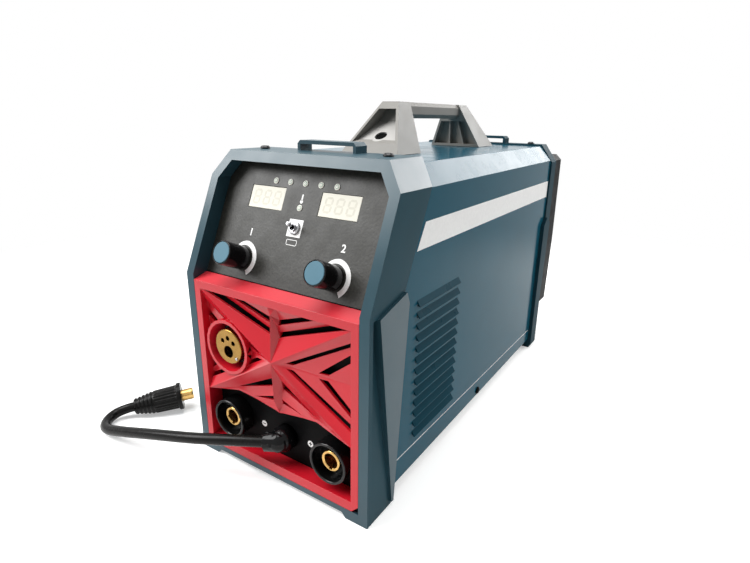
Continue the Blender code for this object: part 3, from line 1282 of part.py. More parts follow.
def carry_handle():
    """The moulded handle: two tapered legs with screw pockets outside, ribs inside, and a grip bar."""
    foot = COVER_TOP + GAP
    top = foot + HANDLE_RISE
    grip_low = top - HANDLE_GRIP
    centre = (SEAM_TOP + COVER_END) / 2
    wide, narrow = HANDLE_BASE_HALF, HANDLE_TOP_HALF
    inner = HANDLE_HALF - HANDLE_LEG
    crown = inner - HANDLE_LEAN + HANDLE_LEG_TOP

    def inner_at(z):
        return inner - HANDLE_LEAN * (z - foot) / HANDLE_RISE

    def leg(side):
        sections = []
        for half, outer, z in ((wide, HANDLE_HALF, foot), (narrow, crown, top)):
            front, back = sorted((centre + side * outer, centre + side * inner_at(z)))
            sections.append([(-half, front, z), (half, front, z), (half, back, z), (-half, back, z)])
        return loft(sections)

    def half_at(z):
        return wide - (wide - narrow) * (z - foot) / HANDLE_RISE - HANDLE_WALL

    def bay(side, ends, left=-1.0, right=1.0):
        sections = []
        for past, low, high in ends:
            lower, upper = half_at(low), half_at(high)
            y_low = centre + side * (inner_at(low) + past)
            y_high = centre + side * (inner_at(high) + past)
            sections.append([(left * lower, y_low, low), (right * lower, y_low, low),
                             (right * upper, y_high, high), (left * upper, y_high, high)])
        return loft(sections)

    bevel = HANDLE_GRIP / 4
    section = [(narrow, grip_low + bevel), (narrow, top - bevel), (narrow - bevel, top),
               (bevel - narrow, top), (-narrow, top - bevel), (-narrow, grip_low + bevel),
               (bevel - narrow, grip_low), (narrow - bevel, grip_low)]
    handle = add("carry_handle", prism(section, centre - crown + bevel, centre + crown - bevel, "Y"), GREY)
    fuse(handle, leg(-1), leg(1))
    roof = top - HANDLE_ROOF
    rib_top = grip_low - HANDLE_WALL
    rib = HANDLE_RIB / wide
    for side in (-1, 1):
        mouth = HANDLE_LEG + HANDLE_LEAN
        cut(handle, bay(side, [(mouth, foot + HANDLE_WALL, roof), (HANDLE_WEB, foot + HANDLE_FLOOR, roof)]))
        hole = (0, centre + side * (inner + HANDLE_LEG * HANDLE_HOLE_PLACE))
        cut(handle, rod(HANDLE_HOLE, foot - HANDLE_WALL, roof, "Z", hole, 20))
        low = foot + HANDLE_WALL
        near = (-HANDLE_WALL, low, rib_top)
        cut(handle, bay(side, [near, (HANDLE_RIB, low, rib_top)]))
        for i in range(HANDLE_BAYS):
            left = 2 * i / HANDLE_BAYS - 1 + (rib if i else 0)
            right = 2 * (i + 1) / HANDLE_BAYS - 1
            cut(handle, bay(side, [near, (HANDLE_BACK_RECESS, low, rib_top)], left, right))


def rear_panel():
    """The steel plate inside the rear frame, with openings for fan, switch, cord and gas."""
    outline = inner_arch(HALF, 0, REAR_TOP, CORNER_X, CORNER_Z, RIM + GAP, TRAY_FLOOR)
    panel = add("rear_panel", prism(outline, REAR_PANEL, REAR_PANEL + SHEET, "Y"), STEEL)
    cut(panel, rod(FAN_BORE, -FAR, FAR, "Y", (FAN_X, FAN_HEIGHT), 32),
        rod(MAINS_NECK + GAP, -FAR, FAR, "Y", (MAINS_X, REAR_ROW_HEIGHT), 16),
        rod(GAS_NECK + GAP, -FAR, FAR, "Y", (GAS_X, REAR_ROW_HEIGHT), 16),
        box((SWITCH_X - SWITCH_HALF_X - GAP, -FAR, REAR_ROW_HEIGHT - SWITCH_HALF_Z - GAP),
            (SWITCH_X + SWITCH_HALF_X + GAP, FAR, REAR_ROW_HEIGHT + SWITCH_HALF_Z + GAP)))


def guard_side(shrink):
    """The side outline of the rear guard, a wall inside itself by shrink."""
    seat = REAR_FACE + GAP - 2 * shrink
    edge = REAR_FACE + GUARD_EDGE_DEPTH - shrink
    apex = REAR_FACE + GUARD_APEX_DEPTH - shrink
    low = GUARD_BOTTOM + shrink
    high = GUARD_TOP - shrink
    return [(seat, low), (edge, low), (apex, GUARD_APEX_HEIGHT), (edge, high), (seat, high)]


def rear_guard():
    """The black moulded cover over the fan, with air slots in its bulged back."""
    half = HALF - GUARD_INSET
    guard = add("rear_guard", prism(guard_side(0), -half, half, "X"), BLACK)
    keep(guard, prism(arch(half, 0, GUARD_TOP, GUARD_CORNER, GUARD_CORNER), -FAR, FAR, "Y"))
    hollow = add("hollow", prism(guard_side(GUARD_WALL), -half + GUARD_WALL, half - GUARD_WALL, "X"), BLACK)
    inside = arch(half - GUARD_WALL, 0, GUARD_TOP - GUARD_WALL, GUARD_CORNER, GUARD_CORNER)
    keep(hollow, prism(inside, -FAR, FAR, "Y"))
    room = bmesh.new()
    room.from_mesh(hollow.data)
    bpy.data.objects.remove(hollow, do_unlink=True)
    cut(guard, room)
    first = FAN_HEIGHT + GUARD_PITCH * (GUARD_SLOT_COUNT - 1) / 2
    for i in range(GUARD_SLOT_COUNT):
        z = first - i * GUARD_PITCH
        reach = GUARD_SLOT_HALF * (1 - ((z - FAN_HEIGHT) / (FAN_HALF * 1.3)) ** 2) ** 0.5
        cut(guard, box((FAN_X - reach, REAR_FACE + FAN_DEPTH, z - GUARD_SLOT / 2),
                       (FAN_X + reach, FAR, z + GUARD_SLOT / 2)))


def cooling_fan():
    """The fan frame with its struts and axle, and the bladed rotor."""
    start = REAR_PANEL + SHEET + GAP
    end = start + FAN_DEPTH
    low = (FAN_X - FAN_HALF, start, FAN_HEIGHT - FAN_HALF)
    high = (FAN_X + FAN_HALF, end, FAN_HEIGHT + FAN_HALF)
    frame = add("fan_frame", box(low, high), BLACK)
    centre = (FAN_X, FAN_HEIGHT)
    cut(frame, rod(FAN_BORE, -FAR, FAR, "Y", centre, 32))
    strut = end - FAN_STRUT_DEPTH
    reach = FAN_HALF - FAN_STRUT / 2
    half = FAN_STRUT / 2
    fuse(frame, box((FAN_X - reach, strut, FAN_HEIGHT - half), (FAN_X + reach, end - GAP, FAN_HEIGHT + half)),
         box((FAN_X - half, strut, FAN_HEIGHT - reach), (FAN_X + half, end - GAP, FAN_HEIGHT + reach)),
         rod(FAN_HUB, strut, end - 2 * GAP, "Y", centre, 24),
         rod(FAN_AXLE, start + FAN_STRUT_DEPTH, strut + GAP, "Y", centre, 12))
    hub_front = start + FAN_STRUT_DEPTH
    hub_back = strut - GAP
    hub = [(FAN_AXLE + GAP, hub_front), (FAN_HUB - MM, hub_front), (FAN_HUB, hub_front + MM),
           (FAN_HUB, hub_back), (FAN_AXLE + GAP, hub_back)]
    spot = (FAN_X, 0, FAN_HEIGHT)
    rotor = add("fan_rotor", turned(hub, 14, closed=True), BLACK, spot, Euler((-pi / 2, 0, 0)))
    middle = (hub_front + hub_back) / 2
    tip = FAN_BORE - FAN_BLADE_CLEAR
    for i in range(FAN_BLADES):
        turn = Matrix.Rotation(2 * pi * i / FAN_BLADES, 4, "Z")
        blade = fan_blade(FAN_HUB - 2 * MM, tip, middle, (hub_back - hub_front) / 2 - MM)
        bmesh.ops.transform(blade, matrix=turn, verts=blade.verts)
        fuse(rotor, blade)
    keep(rotor, rod(tip, -FAR, FAR, "Z", count=35))
    smooth(rotor)


def fan_blade(root, tip, middle, room):
    """One twisted blade, from the hub to its tip, within the rotor's depth."""
    sections = []
    for i in range(3):
        radius = root + (tip - root) * i / 2
        pitch = FAN_PITCH_ROOT + (FAN_PITCH_TIP - FAN_PITCH_ROOT) * i / 2
        width = min(radius * FAN_BLADE_SPAN, room / sin(pitch))
        along = Vector((0, cos(pitch), sin(pitch)))
        across = Vector((0, -sin(pitch), cos(pitch))) * FAN_BLADE_THICK / 2
        centre = Vector((radius, 0, middle))
        sections.append([centre - along * width - across, centre + along * width - across,
                         centre + along * width + across, centre - along * width + across])
    return loft(sections)


def power_switch():
    """The mains switch in the rear panel and its rocker."""
    face = REAR_PANEL + SHEET + GAP
    x, z = SWITCH_X, REAR_ROW_HEIGHT
    body = add("power_switch", box((x - SWITCH_HALF_X, face - SWITCH_BODY, z - SWITCH_HALF_Z),
                                   (x + SWITCH_HALF_X, face + GAP, z + SWITCH_HALF_Z)), BLACK)
    wide = SWITCH_HALF_X + SWITCH_BEZEL
    tall = SWITCH_HALF_Z + SWITCH_BEZEL
    well_x = SWITCH_HALF_X - SWITCH_BEZEL / 2
    well_z = SWITCH_HALF_Z - SWITCH_BEZEL / 2
    fuse(body, box((x - wide, face, z - tall), (x + wide, face + SWITCH_BEZEL_RISE, z + tall)))
    cut(body, box((x - well_x, face - SWITCH_WELL, z - well_z), (x + well_x, FAR, z + well_z)))
    half_x = well_x - GAP
    long = well_z - ROCKER_CLEAR
    hub = SWITCH_WELL - ROCKER_CLEAR
    outline = [(-long, 0), (0, -hub), (long, 0), (long, ROCKER_RISE), (0, ROCKER_RISE * 0.45),
               (-long, ROCKER_RISE)]
    rocker = prism([(depth, up) for up, depth in outline], -half_x, half_x, "X")
    add("power_rocker", rocker, BLACK, (x, face, z), Euler((ROCKER_REST, 0, 0)))


def rear_fittings():
    """The mains cord gland and the gas inlet in the rear panel."""
    face = REAR_PANEL + SHEET + GAP
    inside = REAR_PANEL - 6 * MM
    backwards = Euler((-pi / 2, 0, 0))
    reach = face + MAINS_REACH
    gland = [(MAINS_BORE, inside), (MAINS_NECK, inside), (MAINS_NECK, face), (MAINS_RADIUS, face),
             (MAINS_RADIUS, face + MAINS_REACH * 0.55), (MAINS_NECK, reach - MM), (MAINS_BORE + MM, reach),
             (MAINS_BORE, reach - MM)]
    place_at = (MAINS_X, 0, REAR_ROW_HEIGHT)
    smooth(add("mains_gland", turned(gland, 16, closed=True), BLACK, place_at, backwards))
    hex_end = face + GAS_HEX_LENGTH
    reach = face + GAS_REACH
    barb = (reach - hex_end) / 2
    nipple = [(GAS_BORE, inside), (GAS_NECK, inside), (GAS_NECK, face), (GAS_HEX, face), (GAS_HEX, hex_end)]
    for i in range(2):
        nipple += [(GAS_BARB - MM, hex_end + i * barb + GAP), (GAS_BARB, hex_end + i * barb + 2 * GAP),
                   (GAS_BARB - MM, hex_end + (i + 1) * barb)]
    nipple += [(GAS_BORE, reach)]
    smooth(add("gas_inlet", turned(nipple, 12, closed=True), BRASS, (GAS_X, 0, REAR_ROW_HEIGHT), backwards))


def roll_centre():
    """The drive roll's axis, as y and z."""
    return (ROLL_Y, WIRE_HEIGHT - WIRE_ROOM - ROLL_RADIUS)


def idler_centre():
    """The idler roll's axis, as y and z."""
    return (ROLL_Y, WIRE_HEIGHT + WIRE_ROOM + IDLER_RADIUS)


def arm_pivot():
    """The pressure arm's axis, as y and z."""
    return (ARM_PIVOT_Y, WIRE_HEIGHT + ARM_PIVOT_ABOVE)


def wire_feeder():
    """The feeder plate and motor, with drive roll, pressure arm, its stop, idler and tension knob."""
    seat = FEEDER_FACE + FEEDER_THICK
    rear = FEEDER_FRONT + FEEDER_LENGTH
    plate = add("feeder_plate", box((FEEDER_FACE, FEEDER_FRONT, WIRE_HEIGHT - FEEDER_BELOW),
                                    (seat, rear, WIRE_HEIGHT + FEEDER_ABOVE)), BLACK)
    lug = EURO_X - FEEDER_LUG_HALF
    for start in (FEEDER_FRONT, rear - FEEDER_LUG):
        fuse(plate, box((lug, start, WIRE_HEIGHT - FEEDER_LUG_HALF),
                        (seat - MM, start + FEEDER_LUG, WIRE_HEIGHT + FEEDER_LUG_HALF)))
    line = (EURO_X, WIRE_HEIGHT)
    tail = (EURO_X, STAR_HEIGHT)
    cut(plate, rod(EURO_TAIL_RADIUS + GAP, 0, FEEDER_FRONT + FEEDER_LUG + GAP, "Y", tail, 24),
        rod(WIRE_BORE, 0, FAR, "Y", line, 8))
    arm_face = FEEDER_FACE - GAP
    arm_outer = arm_face - ARM_THICK
    fuse(plate, rod(ARM_PIVOT_PIN, arm_outer - GAP, FEEDER_FACE + MM, "X", arm_pivot(), 16))
    pivot = arm_pivot()
    bar_low = pivot[1] - ARM_EYE
    bar_high = pivot[1] + ARM_EYE
    stop_top = bar_low - GAP
    tension_y = ARM_REAR_Y - ARM_HEAD
    add("arm_stop", box((arm_outer, tension_y - ARM_HEAD, stop_top - STOP_THICK),
                        (FEEDER_FACE - GAP, tension_y + ARM_HEAD, stop_top)), STEEL)
    cut(plate, rod(ROLL_SHAFT + 2 * GAP, -FAR, 0, "X", roll_centre(), 16))

    roll_y, roll_z = roll_centre()
    inner = EURO_X + ROLL_HALF
    outer = EURO_X - ROLL_HALF
    shaft_end = BULKHEAD_X + GAP + MOTOR_SOCKET - GAP
    roll = [(0, outer - MM), (ROLL_SHAFT, outer - MM), (ROLL_SHAFT, outer), (ROLL_RADIUS, outer),
            (ROLL_RADIUS, EURO_X - ROLL_GROOVE), (ROLL_RADIUS - ROLL_GROOVE, EURO_X),
            (ROLL_RADIUS, EURO_X + ROLL_GROOVE), (ROLL_RADIUS, inner), (ROLL_SHAFT, inner),
            (ROLL_SHAFT, shaft_end), (0, shaft_end)]
    along_x = Euler((0, pi / 2, 0))
    smooth(add("drive_roll", turned(roll, 16), STEEL, (0, roll_y, roll_z), along_x))

    gear_start = BULKHEAD_X + GAP
    gear_end = gear_start + MOTOR_GEAR
    motor = add("feed_motor", box((gear_start, roll_y - MOTOR_GEAR_HALF, roll_z - MOTOR_GEAR_HALF),
                                  (gear_end, roll_y + MOTOR_GEAR_HALF, roll_z + MOTOR_GEAR_HALF)), STEEL)
    fuse(motor, rod(MOTOR_CAN, gear_end - MM, gear_end + MOTOR_CAN_LENGTH, "X", (roll_y, roll_z), 16))
    cut(motor, rod(ROLL_SHAFT + GAP, -FAR, gear_start + MOTOR_SOCKET, "X", (roll_y, roll_z), 16))

    idler_y, idler_z = idler_centre()
    arm = add("pressure_arm", box((arm_outer, pivot[0] - ARM_EYE, bar_low),
                                  (arm_face, ARM_REAR_Y, bar_high)), BLACK)
    pin_end = EURO_X - ROLL_HALF - MM
    fuse(arm, rod(IDLER_PIN, pin_end, arm_face - MM, "X", (idler_y, idler_z), 16))
    cut(arm, rod(ARM_PIVOT_PIN + GAP, -FAR, FAR, "X", pivot, 16))
    tension_x = (arm_outer + arm_face) / 2
    cut(arm, rod(TENSION_SCREW / 2 + GAP, 0, FAR, "Z", (tension_x, tension_y), 12))
    move_origin(arm, (arm_face, *pivot))

    idler = [(IDLER_PIN + GAP, pin_end + MM), (IDLER_RADIUS, pin_end + MM), (IDLER_RADIUS, arm_outer - GAP),
             (IDLER_PIN + GAP, arm_outer - GAP)]
    smooth(add("idler_roll", turned(idler, 16, closed=True), STEEL, (0, idler_y, idler_z), along_x))

    knob_low = bar_high + GAP
    screw_low = stop_top + GAP
    thread = TENSION_SCREW / 2
    knob = [(0, screw_low), (thread, screw_low), (thread, knob_low), (TENSION_RADIUS, knob_low),
            (TENSION_RADIUS, knob_low + TENSION_TALL - MM), (TENSION_RADIUS - MM, knob_low + TENSION_TALL),
            (0, knob_low + TENSION_TALL)]
    smooth(add("tension_knob", turned(knob, SMALL), RED, (tension_x, tension_y, 0)))


def spool_mount():
    """The spool axle on the bulkhead and the hub that turns on it."""
    along_x = Euler((0, pi / 2, 0))
    wall = BULKHEAD_X - SHEET - GAP
    flange = wall - AXLE_FLANGE_THICK
    hub_in = flange - GAP
    hub_out = hub_in - HUB_LENGTH
    head = hub_out - GAP
    end = head - AXLE_HEAD_THICK
    axle = [(0, end), (AXLE_HEAD - MM, end), (AXLE_HEAD, end + MM), (AXLE_HEAD, head), (AXLE_RADIUS, head),
            (AXLE_RADIUS, flange), (AXLE_FLANGE, flange), (AXLE_FLANGE, wall), (0, wall)]
    smooth(add("hub_axle", turned(axle, SMALL), BLACK, (0, HUB_Y, HUB_HEIGHT), along_x))
    bore = AXLE_RADIUS + GAP
    rim = hub_in - HUB_FLANGE_THICK
    hub = [(bore, hub_out), (HUB_RADIUS - MM, hub_out), (HUB_RADIUS, hub_out + MM), (HUB_RADIUS, rim),
           (HUB_FLANGE, rim), (HUB_FLANGE, hub_in), (bore, hub_in)]
    smooth(add("spool_hub", turned(hub, 16, closed=True), BLACK, (0, HUB_Y, HUB_HEIGHT), along_x))


def power_side():
    """The heat sink, inverter board and transformer beside the bulkhead."""
    floor = TRAY_TOP + GAP
    fin_top = floor + SINK_TALL
    base = floor + SINK_BASE
    pitch = (SINK_WIDTH - SINK_FIN) / (SINK_FINS - 1)
    outline = [(SINK_X, floor)]
    for i in range(SINK_FINS):
        x = SINK_X + i * pitch
        outline += [(x, base), (x, fin_top), (x + SINK_FIN, fin_top), (x + SINK_FIN, base)]
    outline = [point for i, point in enumerate(outline) if i not in (1, len(outline) - 1)]
    outline += [(SINK_X + SINK_WIDTH, floor)]
    add("heat_sink", prism(outline, SINK_FRONT, SINK_FRONT + SINK_LENGTH, "Y"), ALUMINIUM)

    low = fin_top + GAP + PCB_POST_TALL
    corner = (SINK_X - PCB_MARGIN, SINK_FRONT - PCB_MARGIN, low)
    far_corner = (SINK_X + SINK_WIDTH, SINK_FRONT + SINK_LENGTH + PCB_MARGIN, low + PCB_THICK)
    board = add("inverter_board", box(corner, far_corner), BOARD_GREEN)
    for x in (SINK_X + SINK_FIN / 2, SINK_X + SINK_WIDTH - PCB_POST):
        for y in (SINK_FRONT + 2 * PCB_POST, SINK_FRONT + SINK_LENGTH - 2 * PCB_POST):
            fuse(board, rod(PCB_POST, fin_top + GAP, low + PCB_THICK / 2, "Z", (x, y), 8))
    spacing = SINK_LENGTH / CAPACITOR_COUNT
    for i in range(CAPACITOR_COUNT):
        centre = (SINK_X + SINK_WIDTH / 2, SINK_FRONT + spacing * (i + 0.5))
        fuse(board, rod(CAPACITOR_RADIUS, low + PCB_THICK / 2, low + CAPACITOR_TALL, "Z", centre, SMALL))

    core_low = (CORE_X, CORE_FRONT, floor)
    core_top = roll_centre()[1] - MOTOR_GEAR_HALF - CORE_ROOM
    core_high = (CORE_X + CORE_WIDTH, CORE_FRONT + CORE_LENGTH, core_top)
    core = add("transformer", box(core_low, core_high), FERRITE)
    middle_y = CORE_FRONT + CORE_LENGTH / 2
    for start, end in ((CORE_FRONT + CORE_LIMB, middle_y - CORE_LIMB / 2),
                       (middle_y + CORE_LIMB / 2, CORE_FRONT + CORE_LENGTH - CORE_LIMB)):
        cut(core, box((-FAR, start, floor + CORE_LIMB), (FAR, end, core_top - CORE_LIMB)))
    coil_half_y = CORE_LENGTH / 2 - CORE_LIMB - MM
    coil_low = floor + CORE_LIMB + MM
    coil_high = core_top - CORE_LIMB - MM
    out = [(CORE_X - COIL_SWELL, middle_y), (CORE_X, middle_y - coil_half_y),
           (CORE_X + CORE_WIDTH, middle_y - coil_half_y), (CORE_X + CORE_WIDTH + COIL_SWELL, middle_y),
           (CORE_X + CORE_WIDTH, middle_y + coil_half_y), (CORE_X, middle_y + coil_half_y)]
    fuse(core, prism(out, coil_low, coil_high, "Z"))


def centre_machine():
    """Puts the origin under the middle of the body, leaving out the loose cable."""
    loose = ("polarity_cable", "plug_body", "plug_pin")
    reach = []
    for piece in machine.children:
        if piece.name not in loose:
            reach += [(piece.matrix_basis @ vertex.co).y for vertex in piece.data.vertices]
    machine.location.y = -(min(reach) + max(reach)) / 2


front_frame()
rear_frame()
top_screws()
top_cover()
side_door()
door_latch()
door_hinges()
base_tray()
bulkhead()
control_panel()
meters()
display_board()
knob_set("voltage", -1)
knob_set("current", 1)
mode_toggle()
front_grille()
socket_panel()
torch_socket()
current_sockets()
cable_gland()
polarity_cable()
cable_plug()
carry_handle()
rear_panel()
rear_guard()
cooling_fan()
power_switch()
rear_fittings()
wire_feeder()
spool_mount()
power_side()
centre_machine()
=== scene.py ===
"""Looks of the portable MIG and stick inverter welder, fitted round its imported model."""
import json
from math import cos, pi, radians, sin

import bmesh
import bpy
from mathutils import Euler, Matrix, Vector


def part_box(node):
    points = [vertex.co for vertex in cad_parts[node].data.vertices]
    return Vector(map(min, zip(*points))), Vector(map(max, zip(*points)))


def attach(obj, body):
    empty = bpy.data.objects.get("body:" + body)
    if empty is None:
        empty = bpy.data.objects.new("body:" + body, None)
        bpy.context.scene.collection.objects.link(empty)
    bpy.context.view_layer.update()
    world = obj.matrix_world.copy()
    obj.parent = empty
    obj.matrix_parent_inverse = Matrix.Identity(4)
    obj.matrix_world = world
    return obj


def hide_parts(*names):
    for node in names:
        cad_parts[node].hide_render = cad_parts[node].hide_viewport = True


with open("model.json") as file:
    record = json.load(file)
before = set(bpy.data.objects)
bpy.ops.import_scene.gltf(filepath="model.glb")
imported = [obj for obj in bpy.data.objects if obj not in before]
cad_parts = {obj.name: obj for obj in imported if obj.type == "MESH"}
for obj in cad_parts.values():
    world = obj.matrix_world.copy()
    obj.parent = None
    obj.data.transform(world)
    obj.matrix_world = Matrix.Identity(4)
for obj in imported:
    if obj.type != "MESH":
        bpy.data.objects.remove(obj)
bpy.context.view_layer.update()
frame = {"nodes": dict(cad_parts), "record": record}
nodes = frame["nodes"]
body_of_node = {node: body
                for body, members in frame["record"]["behaviour"]["bodies"].items()
                for node in members}
slot_of_node = {entry["node"]: entry["material_slot"] for entry in frame["record"]["subparts"]}

MM = 0.001
CASE = "case"
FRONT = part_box("front_frame")[0].y
FRAME_OUTER_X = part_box("front_frame")[1].x
COVER_SIDE_X = -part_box("top_cover")[0].x
NOSE_HEIGHT = 183 * MM
PANEL_TILT = radians(23.9)
PANEL_RECESS = 15 * MM


def point(x, y, z):
    """A place given in millimetres, with y counted back from the front rim."""
    return Vector((x * MM, FRONT + y * MM, z * MM))


def tipped(angle):
    """Axes turned about x."""
    return Euler((angle, 0, 0)).to_matrix().to_4x4()


def raised(axes, height):
    """The same axes, moved along their z by a height in millimetres."""
    return axes @ Matrix.Translation((0, 0, height * MM))


def panel_frame(x=0.0, slope=0.0, off=0.0):
    """Axes on the control panel: x right, y up the slope, z out of it. Millimetres."""
    y = PANEL_RECESS + (slope * sin(PANEL_TILT) - off * cos(PANEL_TILT)) * MM
    z = NOSE_HEIGHT + (slope * cos(PANEL_TILT) + off * sin(PANEL_TILT)) * MM
    return Matrix.Translation((x * MM, FRONT + y, z)) @ tipped(pi / 2 - PANEL_TILT)


def side_frame(y=0.0, z=0.0):
    """Axes on the cover's right side: x back, y up, z out of it. Millimetres."""
    axes = Matrix(((0, 0, 1), (1, 0, 0), (0, 1, 0))).to_4x4()
    return Matrix.Translation((COVER_SIDE_X, FRONT + y * MM, z * MM)) @ axes


def socket_frame(x, z):
    """Axes on the socket plate: x right, y up, z out towards the front. Millimetres."""
    return Matrix.Translation((x * MM, FRONT + PANEL_RECESS, z * MM)) @ tipped(pi / 2)


# Materials

PATTERN_LOW = 0.3
PATTERN_HIGH = 0.7
PATTERN_DETAIL = 3
GRAIN_DETAIL = 2


class Paint:
    """A Principled material with procedural detail.

    mottle varies the colour and haze the roughness, each by a scale in waves per metre and an amount.
    grain is a fine relief, by its scale and its depth in metres.
    """

    def __init__(self, name, colour, roughness, mottle, haze=None, grain=None, metallic=0.0, specular=0.5):
        self.name = name
        self.material = bpy.data.materials.new(name)
        self.material.use_nodes = True
        self.tree = self.material.node_tree
        self.inputs = self.tree.nodes["Principled BSDF"].inputs
        self.place = self.tree.nodes.new("ShaderNodeTexCoord").outputs["Object"]
        self.colour = (*colour, 1)
        self.inputs["Base Color"].default_value = self.colour
        self.inputs["Roughness"].default_value = roughness
        self.inputs["Metallic"].default_value = metallic
        self.inputs["Specular IOR Level"].default_value = specular
        self.add_mottle(*mottle)
        if haze:
            scale, amount = haze
            self.tree.links.new(self.varied(scale, roughness, amount), self.inputs["Roughness"])
        if grain:
            self.add_grain(*grain)

    def noise(self, scale, detail):
        """A noise pattern over the piece."""
        texture = self.tree.nodes.new("ShaderNodeTexNoise")
        texture.inputs["Scale"].default_value = scale
        texture.inputs["Detail"].default_value = detail
        self.tree.links.new(self.place, texture.inputs["Vector"])
        return texture.outputs["Fac"]

    def varied(self, scale, middle, amount):
        """A value that wanders about a middle one."""
        node = self.tree.nodes.new("ShaderNodeMapRange")
        node.inputs["From Min"].default_value = PATTERN_LOW
        node.inputs["From Max"].default_value = PATTERN_HIGH
        node.inputs["To Min"].default_value = middle - amount
        node.inputs["To Max"].default_value = middle + amount
        self.tree.links.new(self.noise(scale, PATTERN_DETAIL), node.inputs["Value"])
        return node.outputs["Result"]

    def add_mottle(self, scale, amount):
        """Varies the colour's brightness a little over the surface."""
        node = self.tree.nodes.new("ShaderNodeHueSaturation")
        node.inputs["Color"].default_value = self.colour
        self.tree.links.new(self.varied(scale, 1, amount), node.inputs["Value"])
        self.tree.links.new(node.outputs["Color"], self.inputs["Base Color"])

    def add_grain(self, scale, depth):
        """Adds the fine relief."""
        bump = self.tree.nodes.new("ShaderNodeBump")
        bump.inputs["Strength"].default_value = 1
        bump.inputs["Distance"].default_value = depth
        self.tree.links.new(self.noise(scale, GRAIN_DETAIL), bump.inputs["Height"])
        self.tree.links.new(bump.outputs["Normal"], self.inputs["Normal"])


FRAME_COLOUR = (0.016, 0.053, 0.072)
COVER_COLOUR = (0.008, 0.076, 0.116)
BLUE_SHELL = {"mottle": (30, 0.05), "haze": (60, 0.03)}
BLUE_SHEET = {"mottle": (14, 0.05), "haze": (40, 0.04)}
RED_SHELL = {"mottle": (25, 0.04), "haze": (50, 0.03)}
GREY_SHELL = {"mottle": (30, 0.06), "haze": (60, 0.05)}
BLACK_SHELL = {"mottle": (40, 0.1), "haze": (90, 0.06)}

FRAME_BLUE = Paint("frame_plastic", FRAME_COLOUR, 0.34, specular=0.4, **BLUE_SHELL)
# A less glossy copy of the frame plastic for the frame's flat sides: painted shade.
FRAME_SIDE_SHADE = Paint("frame_plastic_side_shade", FRAME_COLOUR, 0.36, specular=0.05, **BLUE_SHELL)
# A darker, less glossy copy of the frame's blue for the rear frame: painted shade.
REAR_BLUE_SHADED = Paint("rear_frame_plastic_shaded", (0.012, 0.040, 0.055), 0.36, specular=0.012, **BLUE_SHELL)
COVER_BLUE = Paint("cover_paint", COVER_COLOUR, 0.14, grain=(260, 0.000015), specular=0.05, **BLUE_SHEET)
# Copies of the cover's paint, chosen by facing: glossier on the top and sloping edges for a painted sheen,
# darker on the louvre hoods for painted shade.
COVER_TOP_SHEEN = Paint("cover_paint_top_sheen", COVER_COLOUR, 0.2, specular=0.42, **BLUE_SHEET)
COVER_SLOPE_SHEEN = Paint("cover_paint_slope_sheen", COVER_COLOUR, 0.26, specular=0.13, **BLUE_SHEET)
COVER_HOOD_SHADE = Paint("cover_paint_hood_shade", (0.005, 0.042, 0.063), 0.3, specular=0.03, **BLUE_SHEET)
RED = Paint("red_plastic", (0.52, 0.009, 0.020), 0.2, specular=0.4, **RED_SHELL)
# A glossier copy of the red plastic for the grille's top ledge: painted highlight.
RED_LEDGE_SHEEN = Paint("red_plastic_ledge_sheen", (0.52, 0.012, 0.024), 0.42, specular=0.95, **RED_SHELL)
GREY = Paint("handle_grey", (0.245, 0.237, 0.221), 0.4, specular=0.12, **GREY_SHELL)
# A lighter copy of the handle grey for the handle plates: painted light.
GREY_PLATE_LIT = Paint("handle_plate_lit_grey", (0.40, 0.392, 0.375), 0.34, specular=0.4, **GREY_SHELL)
PANEL = Paint("panel_black", (0.0165, 0.0162, 0.0132), 0.44, mottle=(480, 0.5), haze=(60, 0.05),
              grain=(480, 0.00011), specular=0.33)
BLACK = Paint("black_plastic", (0.005, 0.005, 0.0055), 0.28, grain=(1800, 0.000008), specular=0.08,
              **BLACK_SHELL)
HOUSING = Paint("socket_black", (0.004, 0.004, 0.0042), 0.2, mottle=(60, 0.1), haze=(120, 0.05),
                specular=0.26)
SOCKET_PLATE = Paint("socket_plate", (0.0035, 0.0035, 0.0038), 0.4, mottle=(400, 0.2), haze=(60, 0.06),
                     specular=0.03)
GUARD = Paint("guard_plastic", (0.004, 0.004, 0.0042), 0.4, specular=0.02, **BLACK_SHELL)
KNOB = Paint("knob_black", (0.004, 0.004, 0.0045), 0.14, mottle=(60, 0.1), haze=(120, 0.04), specular=0.16)
CAP = Paint("cap_blue", (0.075, 0.17, 0.225), 0.5, mottle=(60, 0.05), specular=0.2)
LENS = Paint("meter_lens", (0.74, 0.72, 0.635), 0.45, mottle=(60, 0.02), specular=0.1)
BRASS = Paint("brass", (0.56, 0.35, 0.12), 0.24, mottle=(120, 0.08), haze=(300, 0.06), metallic=1.0)
# A darker copy of the brass for the torch socket: painted shade of its recess in the grille.
TORCH_BRASS_SHADED = Paint("torch_brass_shaded", (0.25, 0.142, 0.036), 0.26, mottle=(160, 0.12), haze=(300, 0.06),
                    metallic=1.0)
STEEL = Paint("zinc_steel", (0.36, 0.366, 0.372), 0.42, mottle=(60, 0.08), haze=(120, 0.08), metallic=1.0)
CHROME = Paint("chrome", (0.40, 0.40, 0.41), 0.14, mottle=(90, 0.06), haze=(150, 0.05), metallic=1.0)
SCREW = Paint("black_screw", (0.008, 0.008, 0.009), 0.3, mottle=(200, 0.1), haze=(300, 0.08), metallic=0.3)
ALUMINIUM = Paint("aluminium", (0.45, 0.45, 0.465), 0.4, mottle=(80, 0.05), haze=(120, 0.08), metallic=1.0)
BOARD = Paint("board", (0.012, 0.13, 0.05), 0.4, mottle=(160, 0.25), haze=(200, 0.1))
FERRITE = Paint("ferrite", (0.045, 0.045, 0.05), 0.65, mottle=(120, 0.15), grain=(1500, 0.00005))
